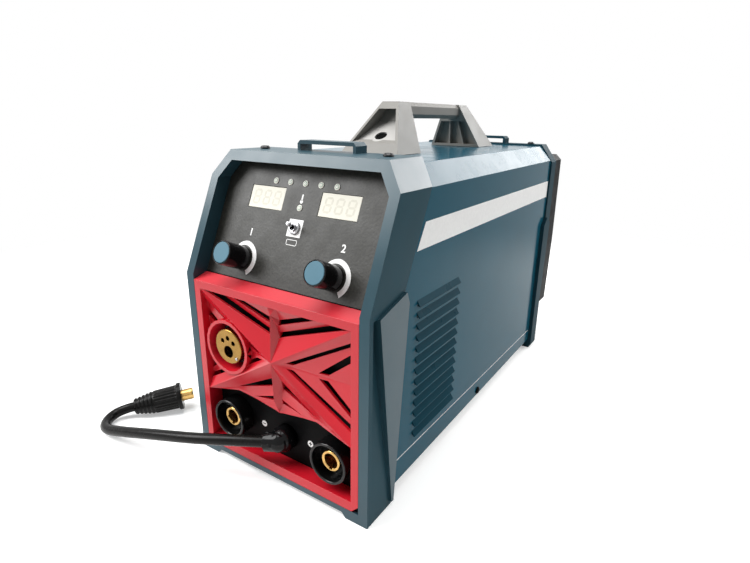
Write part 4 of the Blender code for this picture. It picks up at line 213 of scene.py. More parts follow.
RUBBER = Paint("rubber", (0.005, 0.0048, 0.0045), 0.26, mottle=(60, 0.12), haze=(120, 0.06),
               grain=(900, 0.00001), specular=0.12)
INK = Paint("white_ink", (0.80, 0.80, 0.79), 0.45, mottle=(300, 0.03))
# Near-black for painted shade in the screws' tool recesses and under the handle plates' holes, and for the
# black print of the polarity marks.
RECESS = Paint("shade_and_print_black", (0.002, 0.002, 0.002), 0.7, mottle=(300, 0.2), specular=0.03)
GHOST = Paint("digit_ghost", (0.64, 0.62, 0.535), 0.45, mottle=(200, 0.03), specular=0.1)
LAMP = Paint("lamp_lens", (0.72, 0.71, 0.645), 0.34, mottle=(300, 0.03), specular=0.25)
CHIP = Paint("lamp_chip", (0.36, 0.36, 0.32), 0.4, mottle=(300, 0.05), specular=0.2)

# A node takes the paint that has the name of its material slot, unless it has one of its own.
SLOT_PAINTS = {paint.name: paint for paint in (
    FRAME_BLUE, COVER_BLUE, RED, GREY, PANEL, BLACK, KNOB, CAP, LENS, BRASS, STEEL, CHROME, SCREW,
    ALUMINIUM, BOARD, FERRITE, RUBBER)}
NODE_PAINTS = {
    "rear_frame": REAR_BLUE_SHADED, "rear_guard": GUARD, "socket_panel": SOCKET_PLATE, "euro_socket": TORCH_BRASS_SHADED,
    "dinse_housing_left": HOUSING, "dinse_housing_right": HOUSING, "cable_gland": KNOB,
}

# Faces of one piece are told apart by their place and by how far their normal points up or sideways.
HOODS_STAND = 0.1 * MM
SLOPES_FROM = 200 * MM
SLOPE_RISES = 0.3
TOP_RISES = 0.95
SIDE_FACES = 0.9
CHEEK_DEPTH = 0.5 * MM
LEDGE_FROM = 150 * MM
LEDGE_RISES = 0.5


def cover_paint(face):
    """The cover's top and sloping edges take glossier copies of its paint, a painted sheen, and its louvre
    hoods a darker copy, painted shade.
    """
    if face.center.x > COVER_SIDE_X + HOODS_STAND:
        return COVER_HOOD_SHADE
    if face.center.z > SLOPES_FROM and face.normal.z > SLOPE_RISES:
        return COVER_TOP_SHEEN if face.normal.z > TOP_RISES else COVER_SLOPE_SHEEN
    return COVER_BLUE


def frame_paint(face):
    """The front frame's flat sides take a less glossy copy of its plastic than its raised cheeks, painted
    shade.
    """
    outward = face.normal.x if face.center.x > 0 else -face.normal.x
    inside = abs(face.center.x) < FRAME_OUTER_X - CHEEK_DEPTH
    return FRAME_SIDE_SHADE if outward > SIDE_FACES and inside else FRAME_BLUE


def grille_paint(face):
    """The grille's top ledge takes a glossier copy of the red plastic, a painted highlight."""
    return RED_LEDGE_SHEEN if face.normal.z > LEDGE_RISES and face.center.z > LEDGE_FROM else RED


FACE_PAINTS = {
    "top_cover": (cover_paint, [COVER_BLUE, COVER_TOP_SHEEN, COVER_SLOPE_SHEEN, COVER_HOOD_SHADE]),
    "front_frame": (frame_paint, [FRAME_BLUE, FRAME_SIDE_SHADE]),
    "front_grille": (grille_paint, [RED, RED_LEDGE_SHEEN]),
}


# Pieces


def placed(name, data):
    """A new object in the scene."""
    made = bpy.data.objects.new(name, data)
    bpy.context.scene.collection.objects.link(made)
    return made


def piece(name, data, paint, body=CASE):
    """Puts a mesh or curve into the scene as a piece that rides on a body."""
    made = placed(name, data)
    made.data.materials.append(paint.material)
    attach(made, body)
    return made


def meshed(shape, name, axes=None):
    """Turns a bmesh into a mesh; axes put it in its place, with its faces outward."""
    if axes is not None:
        bmesh.ops.transform(shape, matrix=axes, verts=shape.verts)
        bmesh.ops.recalc_face_normals(shape, faces=shape.faces)
    mesh = bpy.data.meshes.new(name)
    shape.to_mesh(mesh)
    shape.free()
    return mesh


def shade(made):
    """Smooth shading that keeps flat faces flat."""
    for face in made.data.polygons:
        face.use_smooth = True
    made.modifiers.new("normals", "WEIGHTED_NORMAL").keep_sharp = True
    return made


SAME_POINT = 2e-6
FLAT_ANGLE = radians(0.4)
SHARP_ANGLE = radians(28)
ROUNDING_SEGMENTS = 2
LEAST_EDGE = 1e-6
PLAIN_ROUNDING = 0.25
ROUNDING = {
    "front_frame": 0.9, "rear_frame": 0.9, "top_cover": 0.35, "side_door": 0.5, "front_grille": 0.35,
    "carry_handle": 0.8, "fan_frame": 0.1, "rear_guard": 0.8,
}
MODELLED = ("polarity_cable", "plug_body")


def rounded(node, width):
    """The CAD node's own shape with its edges rounded, in its place."""
    shape = bmesh.new()
    shape.from_mesh(nodes[node].data)
    bmesh.ops.remove_doubles(shape, verts=shape.verts, dist=SAME_POINT)
    bmesh.ops.dissolve_limit(shape, angle_limit=FLAT_ANGLE, verts=shape.verts, edges=shape.edges)
    shape.normal_update()
    sharp = [edge for edge in shape.edges if edge.is_manifold and edge.calc_face_angle(0) > SHARP_ANGLE]
    bmesh.ops.bevel(shape, geom=sharp, offset=width * MM, offset_type="OFFSET", segments=ROUNDING_SEGMENTS,
                    profile=0.5, affect="EDGES", clamp_overlap=True)
    bmesh.ops.dissolve_degenerate(shape, dist=LEAST_EDGE, edges=shape.edges)
    mesh = meshed(shape, node)
    slot = slot_of_node[node]
    paint = NODE_PAINTS.get(node, SLOT_PAINTS[slot])
    made = piece(f"{node}_finished", mesh, paint, body_of_node[node])
    if node in FACE_PAINTS:
        choose, paints = FACE_PAINTS[node]
        for extra in paints[1:]:
            mesh.materials.append(extra.material)
        for face in mesh.polygons:
            face.material_index = paints.index(choose(face))
    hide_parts(node)
    shade(made)


for node in sorted(nodes):
    if node not in MODELLED:
        rounded(node, ROUNDING.get(node, PLAIN_ROUNDING))

LATHE_SAME_POINT = 1e-7


def lathe(name, profile, count, axes, paint, body=CASE, reach=None):
    """A turned piece.

    profile lists radius and height in millimetres, and reach may alter a radius by its angle.
    """
    shape = bmesh.new()
    rows = []
    for radius, height in profile:
        if radius == 0:
            rows.append([shape.verts.new((0, 0, height * MM))])
            continue
        ring = []
        for i in range(count):
            angle = 2 * pi * i / count
            size = (reach(radius, height, angle) if reach else radius) * MM
            ring.append(shape.verts.new((size * cos(angle), size * sin(angle), height * MM)))
        rows.append(ring)
    for near, far in zip(rows, rows[1:]):
        for i in range(count):
            j = (i + 1) % count
            corners = [near[i % len(near)], near[j % len(near)], far[j % len(far)], far[i % len(far)]]
            shape.faces.new(list(dict.fromkeys(corners)))
    bmesh.ops.remove_doubles(shape, verts=shape.verts, dist=LATHE_SAME_POINT)
    return shade(piece(name, meshed(shape, name, axes), paint, body))


# Polarity cable, in millimetres

CABLE_RADIUS = 5.25
CABLE_STEPS = 3
CABLE_LEAD = 24
CABLE_ROUNDNESS = 8
GAP = 0.3
GLAND_ELBOW = Vector((3, 2, 43))
GLAND_NUT_END = 13
GLAND_HEADING = Vector((-0.91, -0.405, -0.085)).normalized()
PLUG_HEADING = Vector((0.60, 0.795, 0.10)).normalized()
PLUG_LENGTH = 50
PLUG_BOOT = 20
PLUG_TAIL = 9
PLUG_GRIP = 12.4
PLUG_RING = 15.2
PLUG_RING_LENGTH = 4.5
PLUG_COLLAR = PLUG_LENGTH - PLUG_RING_LENGTH
PLUG_START = Vector((-204.5, -8, PLUG_RING - PLUG_COLLAR * PLUG_HEADING.z + GAP))
PIN_HOLE = 6.4
PIN_SEAT = 12
CABLE_ROUTE = [(-30, -13.0, 40.2), (-54, -22.5, 37.4), (-80, -30.0, 33.0), (-108, -35.5, 27.4),
               (-134, -39.6, 21.6), (-160, -43.0, 15.2), (-178, -45.0, 10.8), (-192, -45.8, 7.6),
               (-204, -42.4, 6.0), (-212.4, -33.6, 6.0), (-214.6, -22.4, 7.4)]

PLUG_RIBS = 5
# Points along a rib, each a share of its length and a drop from its crown.
RIB_SECTION = ((0.22, 0.9), (0.36, 0.2), (0.55, 0), (0.78, 0.2), (0.94, 0.9))
FLUTES = 22
FLUTE_POINTS = 6
FLUTE_DEPTH = 0.75
FLUTE_SHARPNESS = 3
FLUTES_FROM = PLUG_BOOT + 2
FLUTES_TO = PLUG_COLLAR - 0.2


def section(radius, height, rows):
    """Profile points, each counted from a radius and a height."""
    return [(radius + out, height + along) for out, along in rows]


def fluted(radius, height, angle):
    """The plug's radius, less its flutes along the grip."""
    if FLUTES_FROM < height < FLUTES_TO and radius > PLUG_GRIP:
        return radius - FLUTE_DEPTH * abs(cos(FLUTES * angle / 2)) ** FLUTE_SHARPNESS
    return radius


def plug_body():
    """The plug's rubber body: a ringed boot, a fluted grip and a collar."""
    profile = [(0, 0)] + section(PLUG_TAIL, 0, [(-1.6, 0), (-1, 0.5)])
    rib = PLUG_BOOT / PLUG_RIBS
    for i in range(PLUG_RIBS):
        crown = PLUG_TAIL + (PLUG_GRIP - PLUG_TAIL) * i / (PLUG_RIBS - 1)
        profile += [(crown - drop, i * rib + rib * share) for share, drop in RIB_SECTION]
    profile += section(PLUG_GRIP, PLUG_BOOT, [(-0.6, 0.4), (0, 1.4), (0.2, 3)])
    profile += section(PLUG_GRIP, PLUG_COLLAR, [(0.9, -2), (1, -0.4)])
    profile += section(PLUG_RING, PLUG_COLLAR, [(-0.8, -0.1), (-0.2, 0.4), (0, 1)])
    profile += section(PLUG_RING, PLUG_LENGTH, [(0, -1), (-0.3, -0.3), (-1, 0)])
    profile += section(PIN_HOLE, PLUG_LENGTH, [(0.6, 0), (0.3, -0.4), (0.3, -PIN_SEAT)])
    profile.append((0, PLUG_LENGTH - PIN_SEAT))
    turn = PLUG_HEADING.to_track_quat("Z", "Y").to_matrix().to_4x4()
    axes = Matrix.Translation(point(*PLUG_START)) @ turn
    body = body_of_node["plug_body"]
    made = lathe("plug_body_finished", profile, FLUTES * FLUTE_POINTS, axes, RUBBER, body, fluted)
    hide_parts("plug_body")


def cable_line():
    """The cable's middle line, from the gland to the plug."""
    start = GLAND_ELBOW + GLAND_HEADING * (GLAND_NUT_END + GAP)
    end = PLUG_START - PLUG_HEADING * GAP
    tail = PLUG_HEADING * CABLE_RADIUS
    knots = [start - GLAND_HEADING * CABLE_LEAD, start]
    knots += [Vector(place) for place in CABLE_ROUTE]
    knots += [end - tail, end, end + tail]
    line = []
    for i in range(1, len(knots) - 2):
        a, b, c, d = knots[i - 1:i + 3]
        for k in range(CABLE_STEPS):
            t = k / CABLE_STEPS
            line.append(b + (c - a) * t / 2 + (2 * a - 5 * b + 4 * c - d) * t * t / 2
                        + (3 * b - a - 3 * c + d) * t ** 3 / 2)
    return line + [end]


def polarity_cable():
    """The rubber cable from the gland to its plug."""
    curve = bpy.data.curves.new("polarity_cable_tube", "CURVE")
    curve.dimensions = "3D"
    curve.bevel_depth = CABLE_RADIUS * MM
    curve.bevel_resolution = CABLE_ROUNDNESS
    curve.use_fill_caps = True
    line = [point(*place) for place in cable_line()]
    spline = curve.splines.new("POLY")
    spline.points.add(len(line) - 1)
    for knot, place in zip(spline.points, line):
        knot.co = (*place, 1)
    spline.use_smooth = True
    cable = piece("polarity_cable_tube", curve, RUBBER, CASE)
    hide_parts("polarity_cable")


plug_body()
polarity_cable()


# Flat shapes, in millimetres

INK_RISE = 0.06
INK_SUNK = 0.03
SAME_DIGITS = 5
SQUARE = ((-1, -1), (1, -1), (1, 1), (-1, 1))
CORNER_STEPS = 4
LEAST_MITRE = 0.1
NUMBER_BOLDNESS = 0.02
DIGIT_LEAN = 0.1
BAR_GAP = 0.12
DIGIT_BARS = (((-1, 1), (1, 1)), ((-1, 0), (1, 0)), ((-1, -1), (1, -1)), ((-1, 0), (-1, 1)),
              ((1, 0), (1, 1)), ((-1, -1), (-1, 0)), ((1, -1), (1, 0)))


def plates(name, shapes, axes, paint, body=CASE, rise=INK_RISE, sunk=INK_SUNK):
    """Thin flat shapes on a surface, each a list of outline points.

    Shapes that share an edge become one, with no wall between them.
    """
    shape = bmesh.new()
    corners = {}
    walls = {}

    def corner(u, v, height):
        key = (round(u, SAME_DIGITS), round(v, SAME_DIGITS), height)
        if key not in corners:
            corners[key] = shape.verts.new((u * MM, v * MM, height * MM))
        return corners[key]

    for outline in shapes:
        low = [corner(u, v, -sunk) for u, v in outline]
        high = [corner(u, v, rise) for u, v in outline]
        shape.faces.new(low[::-1])
        shape.faces.new(high)
        for i in range(len(low)):
            j = (i + 1) % len(low)
            wall = (low[i], low[j], high[j], high[i])
            walls.setdefault(frozenset((low[i], low[j])), []).append(wall)
    for sides in walls.values():
        if len(sides) == 1:
            shape.faces.new(sides[0])
    piece(name, meshed(shape, name, axes), paint, body)


def around(radius, angle, u, v):
    """The point at an angle on a circle about u and v."""
    return (u + radius * cos(angle), v + radius * sin(angle))


def disc(radius, count, u=0.0, v=0.0):
    """A many-sided disc."""
    return [around(radius, 2 * pi * i / count, u, v) for i in range(count)]


def band(near, far, start, end, count, u, v):
    """A curved band as quads; near and far give its inner and outer radius at its start and its end."""
    rows = []
    for i in range(count + 1):
        t = i / count
        angle = radians(start + (end - start) * t)
        for first, last in zip(near, far):
            rows.append(around(first + (last - first) * t, angle, u, v))
    return [[rows[2 * i], rows[2 * i + 1], rows[2 * i + 3], rows[2 * i + 2]] for i in range(count)]


def strip(outline, width):
    """A closed outline drawn as a line of that width, as quads."""
    count = len(outline)
    inner = []
    for i in range(count):
        a, b, c = (Vector(outline[(i + k) % count]) for k in (-1, 0, 1))
        before = (b - a).normalized()
        after = (c - b).normalized()
        side = Vector((-before.y - after.y, before.x + after.x))
        side *= width / max(side.dot(Vector((-before.y, before.x))), LEAST_MITRE)
        inner.append(tuple(b + side))
    return [[outline[i], outline[(i + 1) % count], inner[(i + 1) % count], inner[i]] for i in range(count)]


def rectangle(wide, tall, u=0.0, v=0.0, corner=0.0):
    """A rectangle, its points going left about, with rounded corners where a radius is given."""
    if not corner:
        return [(u + x * wide / 2, v + y * tall / 2) for x, y in SQUARE]
    places = []
    for x, y, turn in ((1, -1, -90), (1, 1, 0), (-1, 1, 90), (-1, -1, 180)):
        middle = (u + x * (wide / 2 - corner), v + y * (tall / 2 - corner))
        for k in range(CORNER_STEPS + 1):
            places.append(around(corner, radians(turn + 90 * k / CORNER_STEPS), *middle))
    return places


def digit_bars(u, v, wide, tall, thick):
    """The seven bars of one display digit, leaning a little."""
    bars = []
    for ends in DIGIT_BARS:
        a, b = (Vector((x * wide / 2, y * tall / 2)) for x, y in ends)
        along = (b - a).normalized()
        across = Vector((-along.y, along.x)) * thick / 2
        tip = along * thick / 2
        gap = along * thick * BAR_GAP
        a, b = a + gap, b - gap
        outline = [a, a + tip - across, b - tip - across, b, b - tip + across, a + tip + across]
        bars.append([(u + place.x + DIGIT_LEAN * place.y, v + place.y) for place in outline])
    return bars


def numeral(name, text, size, axes):
    """A plain printed number."""
    curve = bpy.data.curves.new(name, "FONT")
    curve.body = text
    curve.size = size * MM
    curve.align_x = "CENTER"
    curve.align_y = "CENTER"
    curve.extrude = (INK_RISE + INK_SUNK) / 2 * MM
    curve.offset = NUMBER_BOLDNESS * size * MM
    drawn = placed(name, curve)
    bpy.context.view_layer.update()
    mesh = bpy.data.meshes.new_from_object(drawn.evaluated_get(bpy.context.evaluated_depsgraph_get()))
    bpy.data.objects.remove(drawn, do_unlink=True)
    bpy.data.curves.remove(curve)
    mesh.materials.clear()
    mesh.transform(raised(axes, (INK_RISE - INK_SUNK) / 2))
    piece(name, mesh, INK)


# Prints and small fittings, in millimetres

KNOB_X = 50.5
KNOB_SLOPE = 18
SCALE_TIP = (11.4, 12.2)
SCALE_FULL = (12.0, 16.2)
SCALE_END = (12.0, 16.6)
SCALE_ANGLES = (165, 80, -56)
SCALE_STEPS = (16, 28)
TOGGLE_SLOPE = 51.7
TOGGLE_SQUARE = 15
TOGGLE_LINE = 3.4
LABEL_FRAME = rectangle(11.5, 5, 0, 39.4, 1.2)
LABEL_LINE = 0.5
OVERHEAT_STEM = [(-0.7, 75), (0.7, 75), (0.7, 80.4), (0, 81.1), (-0.7, 80.4)]
OVERHEAT_BULB = disc(1.6, 20, 0, 74.6)
NUMBER_SIZE = 9
NUMBER_RIGHT = 3
NUMBER_UP = 24


def panel_prints():
    """Dial scales with their numbers, the toggle's square, a bare label frame and an overheat mark."""
    shapes = []
    start, full, end = SCALE_ANGLES
    short, long = SCALE_STEPS
    for side in (-1, 1):
        shapes += band(SCALE_TIP, SCALE_FULL, start, full, short, side * KNOB_X, KNOB_SLOPE)
        shapes += band(SCALE_FULL, SCALE_END, full, end, long, side * KNOB_X, KNOB_SLOPE)
    shapes += strip(rectangle(TOGGLE_SQUARE, TOGGLE_SQUARE, 0, TOGGLE_SLOPE), TOGGLE_LINE)
    shapes += strip(LABEL_FRAME, LABEL_LINE)
    shapes += [OVERHEAT_STEM, OVERHEAT_BULB]
    plates("panel_prints", shapes, panel_frame(), INK)
    for number, side in (("1", -1), ("2", 1)):
        seat = panel_frame(side * KNOB_X + NUMBER_RIGHT, KNOB_SLOPE + NUMBER_UP)
        numeral(f"dial_number_{number}", number, NUMBER_SIZE, seat)


METER_X = 39.6
METER_SLOPE = 74.7
METER_OFF = -0.3
DIGIT_PITCH = 11.6
DIGIT_SIZE = {"wide": 6.6, "tall": 12, "thick": 1.9}
DIGIT_RISE = 0.04
DIGIT_SUNK = 0.02


def meter_digits():
    """Three unlit digits on each meter's window."""
    for name, side in (("voltage", -1), ("current", 1)):
        shapes = []
        for i in (-1, 0, 1):
            shapes += digit_bars(side * METER_X + i * DIGIT_PITCH, METER_SLOPE, **DIGIT_SIZE)
        seat = panel_frame(off=METER_OFF)
        plates(f"{name}_digits", shapes, seat, GHOST, rise=DIGIT_RISE, sunk=DIGIT_SUNK)


LAMP_PITCH = 16.6
LAMP_SLOPE = 90.2
OVERHEAT_LAMP = (0, 69)
LAMP_SPOTS = [((i - 2) * LAMP_PITCH, LAMP_SLOPE) for i in range(5)] + [OVERHEAT_LAMP]
LAMP_PROFILE = [(0, -0.05), (2.8, -0.05), (2.8, 0.4), (2.65, 0.62), (2.2, 0.78), (1.3, 0.9), (0, 0.94)]
LAMP_POINTS = 20
CHIP_OUTLINE = rectangle(0.8, 1.5, 0, 0, 0.35)
CHIP_HEIGHT = 0.9
CHIP_RISE = 0.08


def status_lamps():
    """Lamp lenses seated on the panel, each with a small darker chip at its crown."""
    for i, spot in enumerate(LAMP_SPOTS):
        seat = panel_frame(*spot)
        lathe(f"status_lamp_{i + 1}", LAMP_PROFILE, LAMP_POINTS, seat, LAMP)
        plates(f"lamp_chip_{i + 1}", [CHIP_OUTLINE], raised(seat, CHIP_HEIGHT), CHIP, rise=CHIP_RISE)


RING_PROFILE = [(3.2, 0.05), (5.6, 0.05), (5.6, 1.5), (5.2, 1.95), (3.9, 2.1), (3.2, 2.1), (3.2, 0.05)]
KNURLS = 36
KNURL_POINTS = 2
KNURL_DEPTH = 0.22
KNURLED_FROM = 5


def knurled(radius, height, angle):
    """The toggle ring's radius, less its knurls."""
    return radius - (KNURL_DEPTH * abs(cos(KNURLS / 2 * angle)) if radius > KNURLED_FROM else 0)


def toggle_ring():
    """A knurled ring round the toggle's bush."""
    seat = panel_frame(0, TOGGLE_SLOPE)
    lathe("toggle_ring", RING_PROFILE, KNURLS * KNURL_POINTS, seat, CHROME, reach=knurled)


# A flat dark hexagon stands for each screw's tool recess: painted shade.
SCREW_RECESS_SHADE = disc(1.9, 6)
SCREW_RECESS_RISE = 0.02


def screw_recess_shades():
    """A flat dark hexagon on each top screw, painted shade of its tool recess."""
    for end in ("front", "rear"):
        for side in ("left", "right"):
            screw = f"{end}_screw_{side}"
            low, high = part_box(screw)
            seat = Matrix.Translation(((low.x + high.x) / 2, (low.y + high.y) / 2, high.z))
            plates(f"{end}_recess_{side}", [SCREW_RECESS_SHADE], seat, RECESS, body_of_node[screw],
                   rise=SCREW_RECESS_RISE)


# Each handle plate rises from its outer edge to its inner one. Both are given as a distance from the
# handle's middle and a height above its foot, and the halves are half the plate's width there.
PLATE_OUTER = (116.6, 4.8)
PLATE_INNER = (77.6, 30)
PLATE_HALVES = (27.5, 15.4)
PLATE_THICK = 1.5
PLATE_HOLE = 6.4
PLATE_HOLE_SHARE = 0.46
PLATE_POINTS = 28
# A flat dark disc under each plate's hole: painted shade of the hollow leg.
PLATE_HOLE_SHADE = [(0, -1.2), (PLATE_HOLE + 0.6, -1.2), (PLATE_HOLE + 0.6, -0.1), (0, -0.1)]
PARALLEL = 1e-9
SLACK = 1e-6


def edge_reach(corners, start, angle):
    """How far an outline's edge lies from a place inside it, along an angle."""
    along = Vector((cos(angle), sin(angle)))
    reaches = []
    for a, b in zip(corners, corners[1:] + corners[:1]):
        a, b = Vector(a) - start, Vector(b) - start
        edge = b - a
        turn = along.x * edge.y - along.y * edge.x
        if abs(turn) < PARALLEL:
            continue
        reach = (a.x * edge.y - a.y * edge.x) / turn
        share = (a.x * along.y - a.y * along.x) / turn
        if reach > 0 and -SLACK <= share <= 1 + SLACK:
            reaches.append(reach)
    return min(reaches)


def holed_plate(name, corners, middle, axes):
    """A flat plate with a round hole about its middle."""
    angles = [2 * pi * i / PLATE_POINTS for i in range(PLATE_POINTS)]
    angles += [(Vector(corner) - middle).angle_signed(Vector((1, 0))) for corner in corners]
    angles = sorted({round(angle % (2 * pi), SAME_DIGITS) for angle in angles})
    shape = bmesh.new()
    rings = []
    for depth in (0, -PLATE_THICK):
        inner, outer = [], []
        for angle in angles:
            aim = Vector((cos(angle), sin(angle)))
            for ring, reach in ((inner, PLATE_HOLE), (outer, edge_reach(corners, middle, angle))):
                spot = middle + aim * reach
                ring.append(shape.verts.new((spot.x * MM, spot.y * MM, depth * MM)))
        rings += [inner, outer]
    top_in, top_out, low_in, low_out = rings
    for one, other in ((top_in, top_out), (top_out, low_out), (low_out, low_in), (low_in, top_in)):
        for i in range(len(angles)):
            j = (i + 1) % len(angles)
            shape.faces.new((one[i], one[j], other[j], other[i]))
    # The plate takes the lighter copy of the handle grey, painted light.
    piece(name, meshed(shape, name, axes), GREY_PLATE_LIT, CASE)


def handle_plates():
    """The sloping plate inside each leg of the handle, with a dark disc under its hole, painted shade of
    the hollow leg.
    """
    low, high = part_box("carry_handle")
    run = Vector(PLATE_INNER) - Vector(PLATE_OUTER)
    outer, inner = PLATE_HALVES
    corners = [(-outer, 0), (outer, 0), (inner, run.length), (-inner, run.length)]
    middle = Vector((0, run.length * PLATE_HOLE_SHARE))
    from_middle, from_foot = PLATE_OUTER
    for name, side in (("front", -1), ("rear", 1)):
        across = Vector((1, 0, 0))
        uphill = Vector((0, side * run.x, run.y)).normalized()
        out = across.cross(uphill) * -side
        start = Vector((0, (low.y + high.y) / 2 + side * from_middle * MM, low.z + from_foot * MM))
        axes = Matrix.Translation(start) @ Matrix((across, uphill, out)).transposed().to_4x4()
        holed_plate(f"handle_plate_{name}", corners, middle, axes)
        seat = axes @ Matrix.Translation((0, middle.y * MM, -PLATE_THICK * MM))
        # The dark disc under the hole paints the shade inside the leg.
        lathe(f"handle_hole_shade_{name}", PLATE_HOLE_SHADE, PLATE_POINTS, seat, RECESS)


SIDE_STRIPE = [(69.5, 218.5), (430, 219.5), (430, 240.5), (82.5, 240.5)]
SIDE_LINE = [(41, 35.6), (415, 28.4), (415, 29.2), (41, 36.4)]
SIDE_SCREW = [(0, -0.05), (4.2, -0.05), (4.2, 0.6), (3.9, 1.2), (3.0, 1.9), (1.6, 2.3), (0, 2.4)]
SIDE_SCREW_POINTS = 24
SIDE_SCREW_SPOT = (230, 18.7)


def side_prints():
    """A bare white stripe, a thin line and a screw on the cover's right side."""
    plates("side_stripe", [SIDE_STRIPE, SIDE_LINE], side_frame(), INK)
    lathe("side_screw", SIDE_SCREW, SIDE_SCREW_POINTS, side_frame(*SIDE_SCREW_SPOT), GUARD)


MARK_HEIGHT = 44
MARK_RISE = 0.03
MARK_DISC = disc(3.1, 28)
MARK_LONG = 3.6
MARK_THICK = 0.9
LEVEL_BAR = rectangle(MARK_LONG, MARK_THICK)
UPRIGHT_BAR = rectangle(MARK_THICK, MARK_LONG)
MARKS = {"minus": (-27, [LEVEL_BAR]), "plus": (29, [LEVEL_BAR, UPRIGHT_BAR])}


def polarity_marks():
    """Plus and minus marks between the sockets."""
    for name, (x, bars) in MARKS.items():
        seat = socket_frame(x, MARK_HEIGHT)
        plates(f"{name}_disc", [MARK_DISC], seat, INK)
        plates(f"{name}_mark", bars, raised(seat, INK_RISE), RECESS, rise=MARK_RISE)


STOP_SCREW = [(0, -0.1), (1.5, -0.1), (1.5, 0.6), (1.1, 0.95), (0, 1.05)]
STOP_SCREW_POINTS = 16
STOP_SCREW_TURN = radians(-42)
STOP_SCREW_INSET = 2.6


def stop_screw():
    """A small bright stop screw at the torch socket's edge."""
    low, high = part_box("euro_socket")
    radius = (high.x - low.x) / 2 / MM
    middle = Vector(((low.x + high.x) / 2, low.y, (low.z + high.z) / 2))
    middle += Vector((cos(STOP_SCREW_TURN), 0, sin(STOP_SCREW_TURN))) * (radius - STOP_SCREW_INSET) * MM
    seat = Matrix.Translation(middle) @ tipped(pi / 2)
    lathe("torch_stop_screw", STOP_SCREW, STOP_SCREW_POINTS, seat, CHROME)


panel_prints()
meter_digits()
status_lamps()
toggle_ring()
screw_recess_shades()
handle_plates()
side_prints()
polarity_marks()
stop_screw()


# Stage, in metres

WHITE = (1, 1, 1, 1)
FLOOR_HALF = 8
FLOOR_DROP = 0.0003
FLOOR_COLOUR = (0.82, 0.82, 0.81, 1)
FLOOR_ROUGHNESS = 0.8
FLOOR_SPECULAR = 0.2
FLOOR_LIFT = 0.4
FADE_FROM = 0.5
FADE_TO = 1.1
BACKDROP_LEVEL = 1.0
WORLD_LIGHT = 0.18
# Each lamp has its name, its place, what it aims at, its width and depth, and its power in watts.
STUDIO_LAMPS = (
    ("key", (-1.15, -1.1, 1.4), (0, -0.15, 0.2), 1.0, 1.4, 52),
    ("top", (-0.1, -0.1, 1.9), (0, 0, 0.2), 1.2, 1.2, 26),
    ("rim", (0.9, 1.7, 1.2), (0, 0.05, 0.15), 1.8, 1.0, 40),
)


def seen_directly(tree, direct, other=0.0):
    """A strength of direct for camera, glossy and transmission rays, and other for the rest."""
    path = tree.nodes.new("ShaderNodeLightPath")
    total = path.outputs["Is Camera Ray"]
    for ray in ("Is Glossy Ray", "Is Transmission Ray"):
        both = tree.nodes.new("ShaderNodeMath")
        both.operation = "MAXIMUM"
        tree.links.new(total, both.inputs[0])
        tree.links.new(path.outputs[ray], both.inputs[1])
        total = both.outputs["Value"]
    level = tree.nodes.new("ShaderNodeMapRange")
    level.inputs["To Min"].default_value = other
    level.inputs["To Max"].default_value = direct
    tree.links.new(total, level.inputs["Value"])
    return level.outputs["Result"]


def floor_material():
    """A pale floor near the object, which keeps its shadow and fades into the surround."""
    pale = bpy.data.materials.new("floor_white")
    pale.use_nodes = True
    tree = pale.node_tree
    link = tree.links.new
    near = tree.nodes["Principled BSDF"]
    near.inputs["Base Color"].default_value = FLOOR_COLOUR
    near.inputs["Roughness"].default_value = FLOOR_ROUGHNESS
    near.inputs["Specular IOR Level"].default_value = FLOOR_SPECULAR
    near.inputs["Emission Color"].default_value = WHITE
    link(seen_directly(tree, FLOOR_LIFT), near.inputs["Emission Strength"])
    far = tree.nodes.new("ShaderNodeEmission")
    link(seen_directly(tree, BACKDROP_LEVEL, WORLD_LIGHT), far.inputs["Strength"])
    away = tree.nodes.new("ShaderNodeVectorMath")
    away.operation = "LENGTH"
    link(tree.nodes.new("ShaderNodeTexCoord").outputs["Object"], away.inputs[0])
    fade = tree.nodes.new("ShaderNodeMapRange")
    fade.interpolation_type = "SMOOTHSTEP"
    fade.inputs["From Min"].default_value = FADE_FROM
    fade.inputs["From Max"].default_value = FADE_TO
    link(away.outputs["Value"], fade.inputs["Value"])
    blend = tree.nodes.new("ShaderNodeMixShader")
    link(fade.outputs["Result"], blend.inputs["Fac"])
    link(near.outputs["BSDF"], blend.inputs[1])
    link(far.outputs["Emission"], blend.inputs[2])
    link(blend.outputs["Shader"], tree.nodes["Material Output"].inputs["Surface"])
    return pale


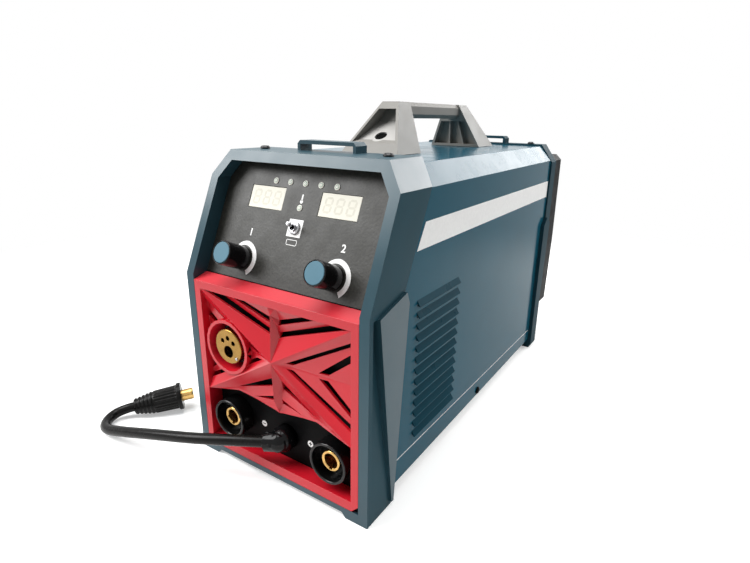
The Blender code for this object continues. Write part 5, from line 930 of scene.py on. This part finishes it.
def studio_floor():
    """The floor, just under the object's feet."""
    mesh = bpy.data.meshes.new("floor")
    corners = [(x * FLOOR_HALF, y * FLOOR_HALF, 0) for x, y in SQUARE]
    mesh.from_pydata(corners, [], [(0, 1, 2, 3)])
    mesh.materials.append(floor_material())
    floor = placed("floor", mesh)
    floor.location.z = -FLOOR_DROP


def surround():
    """A white surround that gives little light of its own."""
    world = bpy.data.worlds.new("surround")
    bpy.context.scene.world = world
    world.use_nodes = True
    tree = world.node_tree
    background = tree.nodes["Background"]
    background.inputs["Color"].default_value = WHITE
    tree.links.new(seen_directly(tree, BACKDROP_LEVEL, WORLD_LIGHT), background.inputs["Strength"])


def studio_lamp(name, place, aim, width, depth, power):
    """A soft rectangular lamp."""
    data = bpy.data.lights.new(name, "AREA")
    data.shape = "RECTANGLE"
    data.size = width
    data.size_y = depth
    data.energy = power
    light = placed(name, data)
    light.location = place
    light.rotation_euler = (Vector(aim) - Vector(place)).to_track_quat("-Z", "Y").to_euler()
    light.visible_camera = False


CAMERA_PLACE = point(285, -278, 320.7)
CAMERA_AZIMUTH = radians(33.08)
CAMERA_ELEVATION = radians(17.98)
CAMERA_ROLL = 0.0161
CAMERA_CLIP = 0.01
FOCAL_PIXELS = 511.82
IMAGE_WIDTH = 750
SENSOR_WIDTH = 36


def camera():
    """The photograph's view."""
    flat = cos(CAMERA_ELEVATION)
    back = Vector((sin(CAMERA_AZIMUTH) * flat, -cos(CAMERA_AZIMUTH) * flat, sin(CAMERA_ELEVATION)))
    right = Vector((cos(CAMERA_AZIMUTH), sin(CAMERA_AZIMUTH), 0))
    up = back.cross(right)
    level = right * cos(CAMERA_ROLL) + up * sin(CAMERA_ROLL)
    upright = up * cos(CAMERA_ROLL) - right * sin(CAMERA_ROLL)
    data = bpy.data.cameras.new("camera")
    data.sensor_width = SENSOR_WIDTH
    data.lens = FOCAL_PIXELS * SENSOR_WIDTH / IMAGE_WIDTH
    data.clip_start = CAMERA_CLIP
    seat = placed("camera", data)
    axes = Matrix((level, upright, back)).transposed().to_4x4()
    seat.matrix_world = Matrix.Translation(CAMERA_PLACE) @ axes
    bpy.context.scene.camera = seat


studio_floor()
surround()
for row in STUDIO_LAMPS:
    studio_lamp(*row)
camera()
bpy.context.scene.view_settings.view_transform = "Standard"
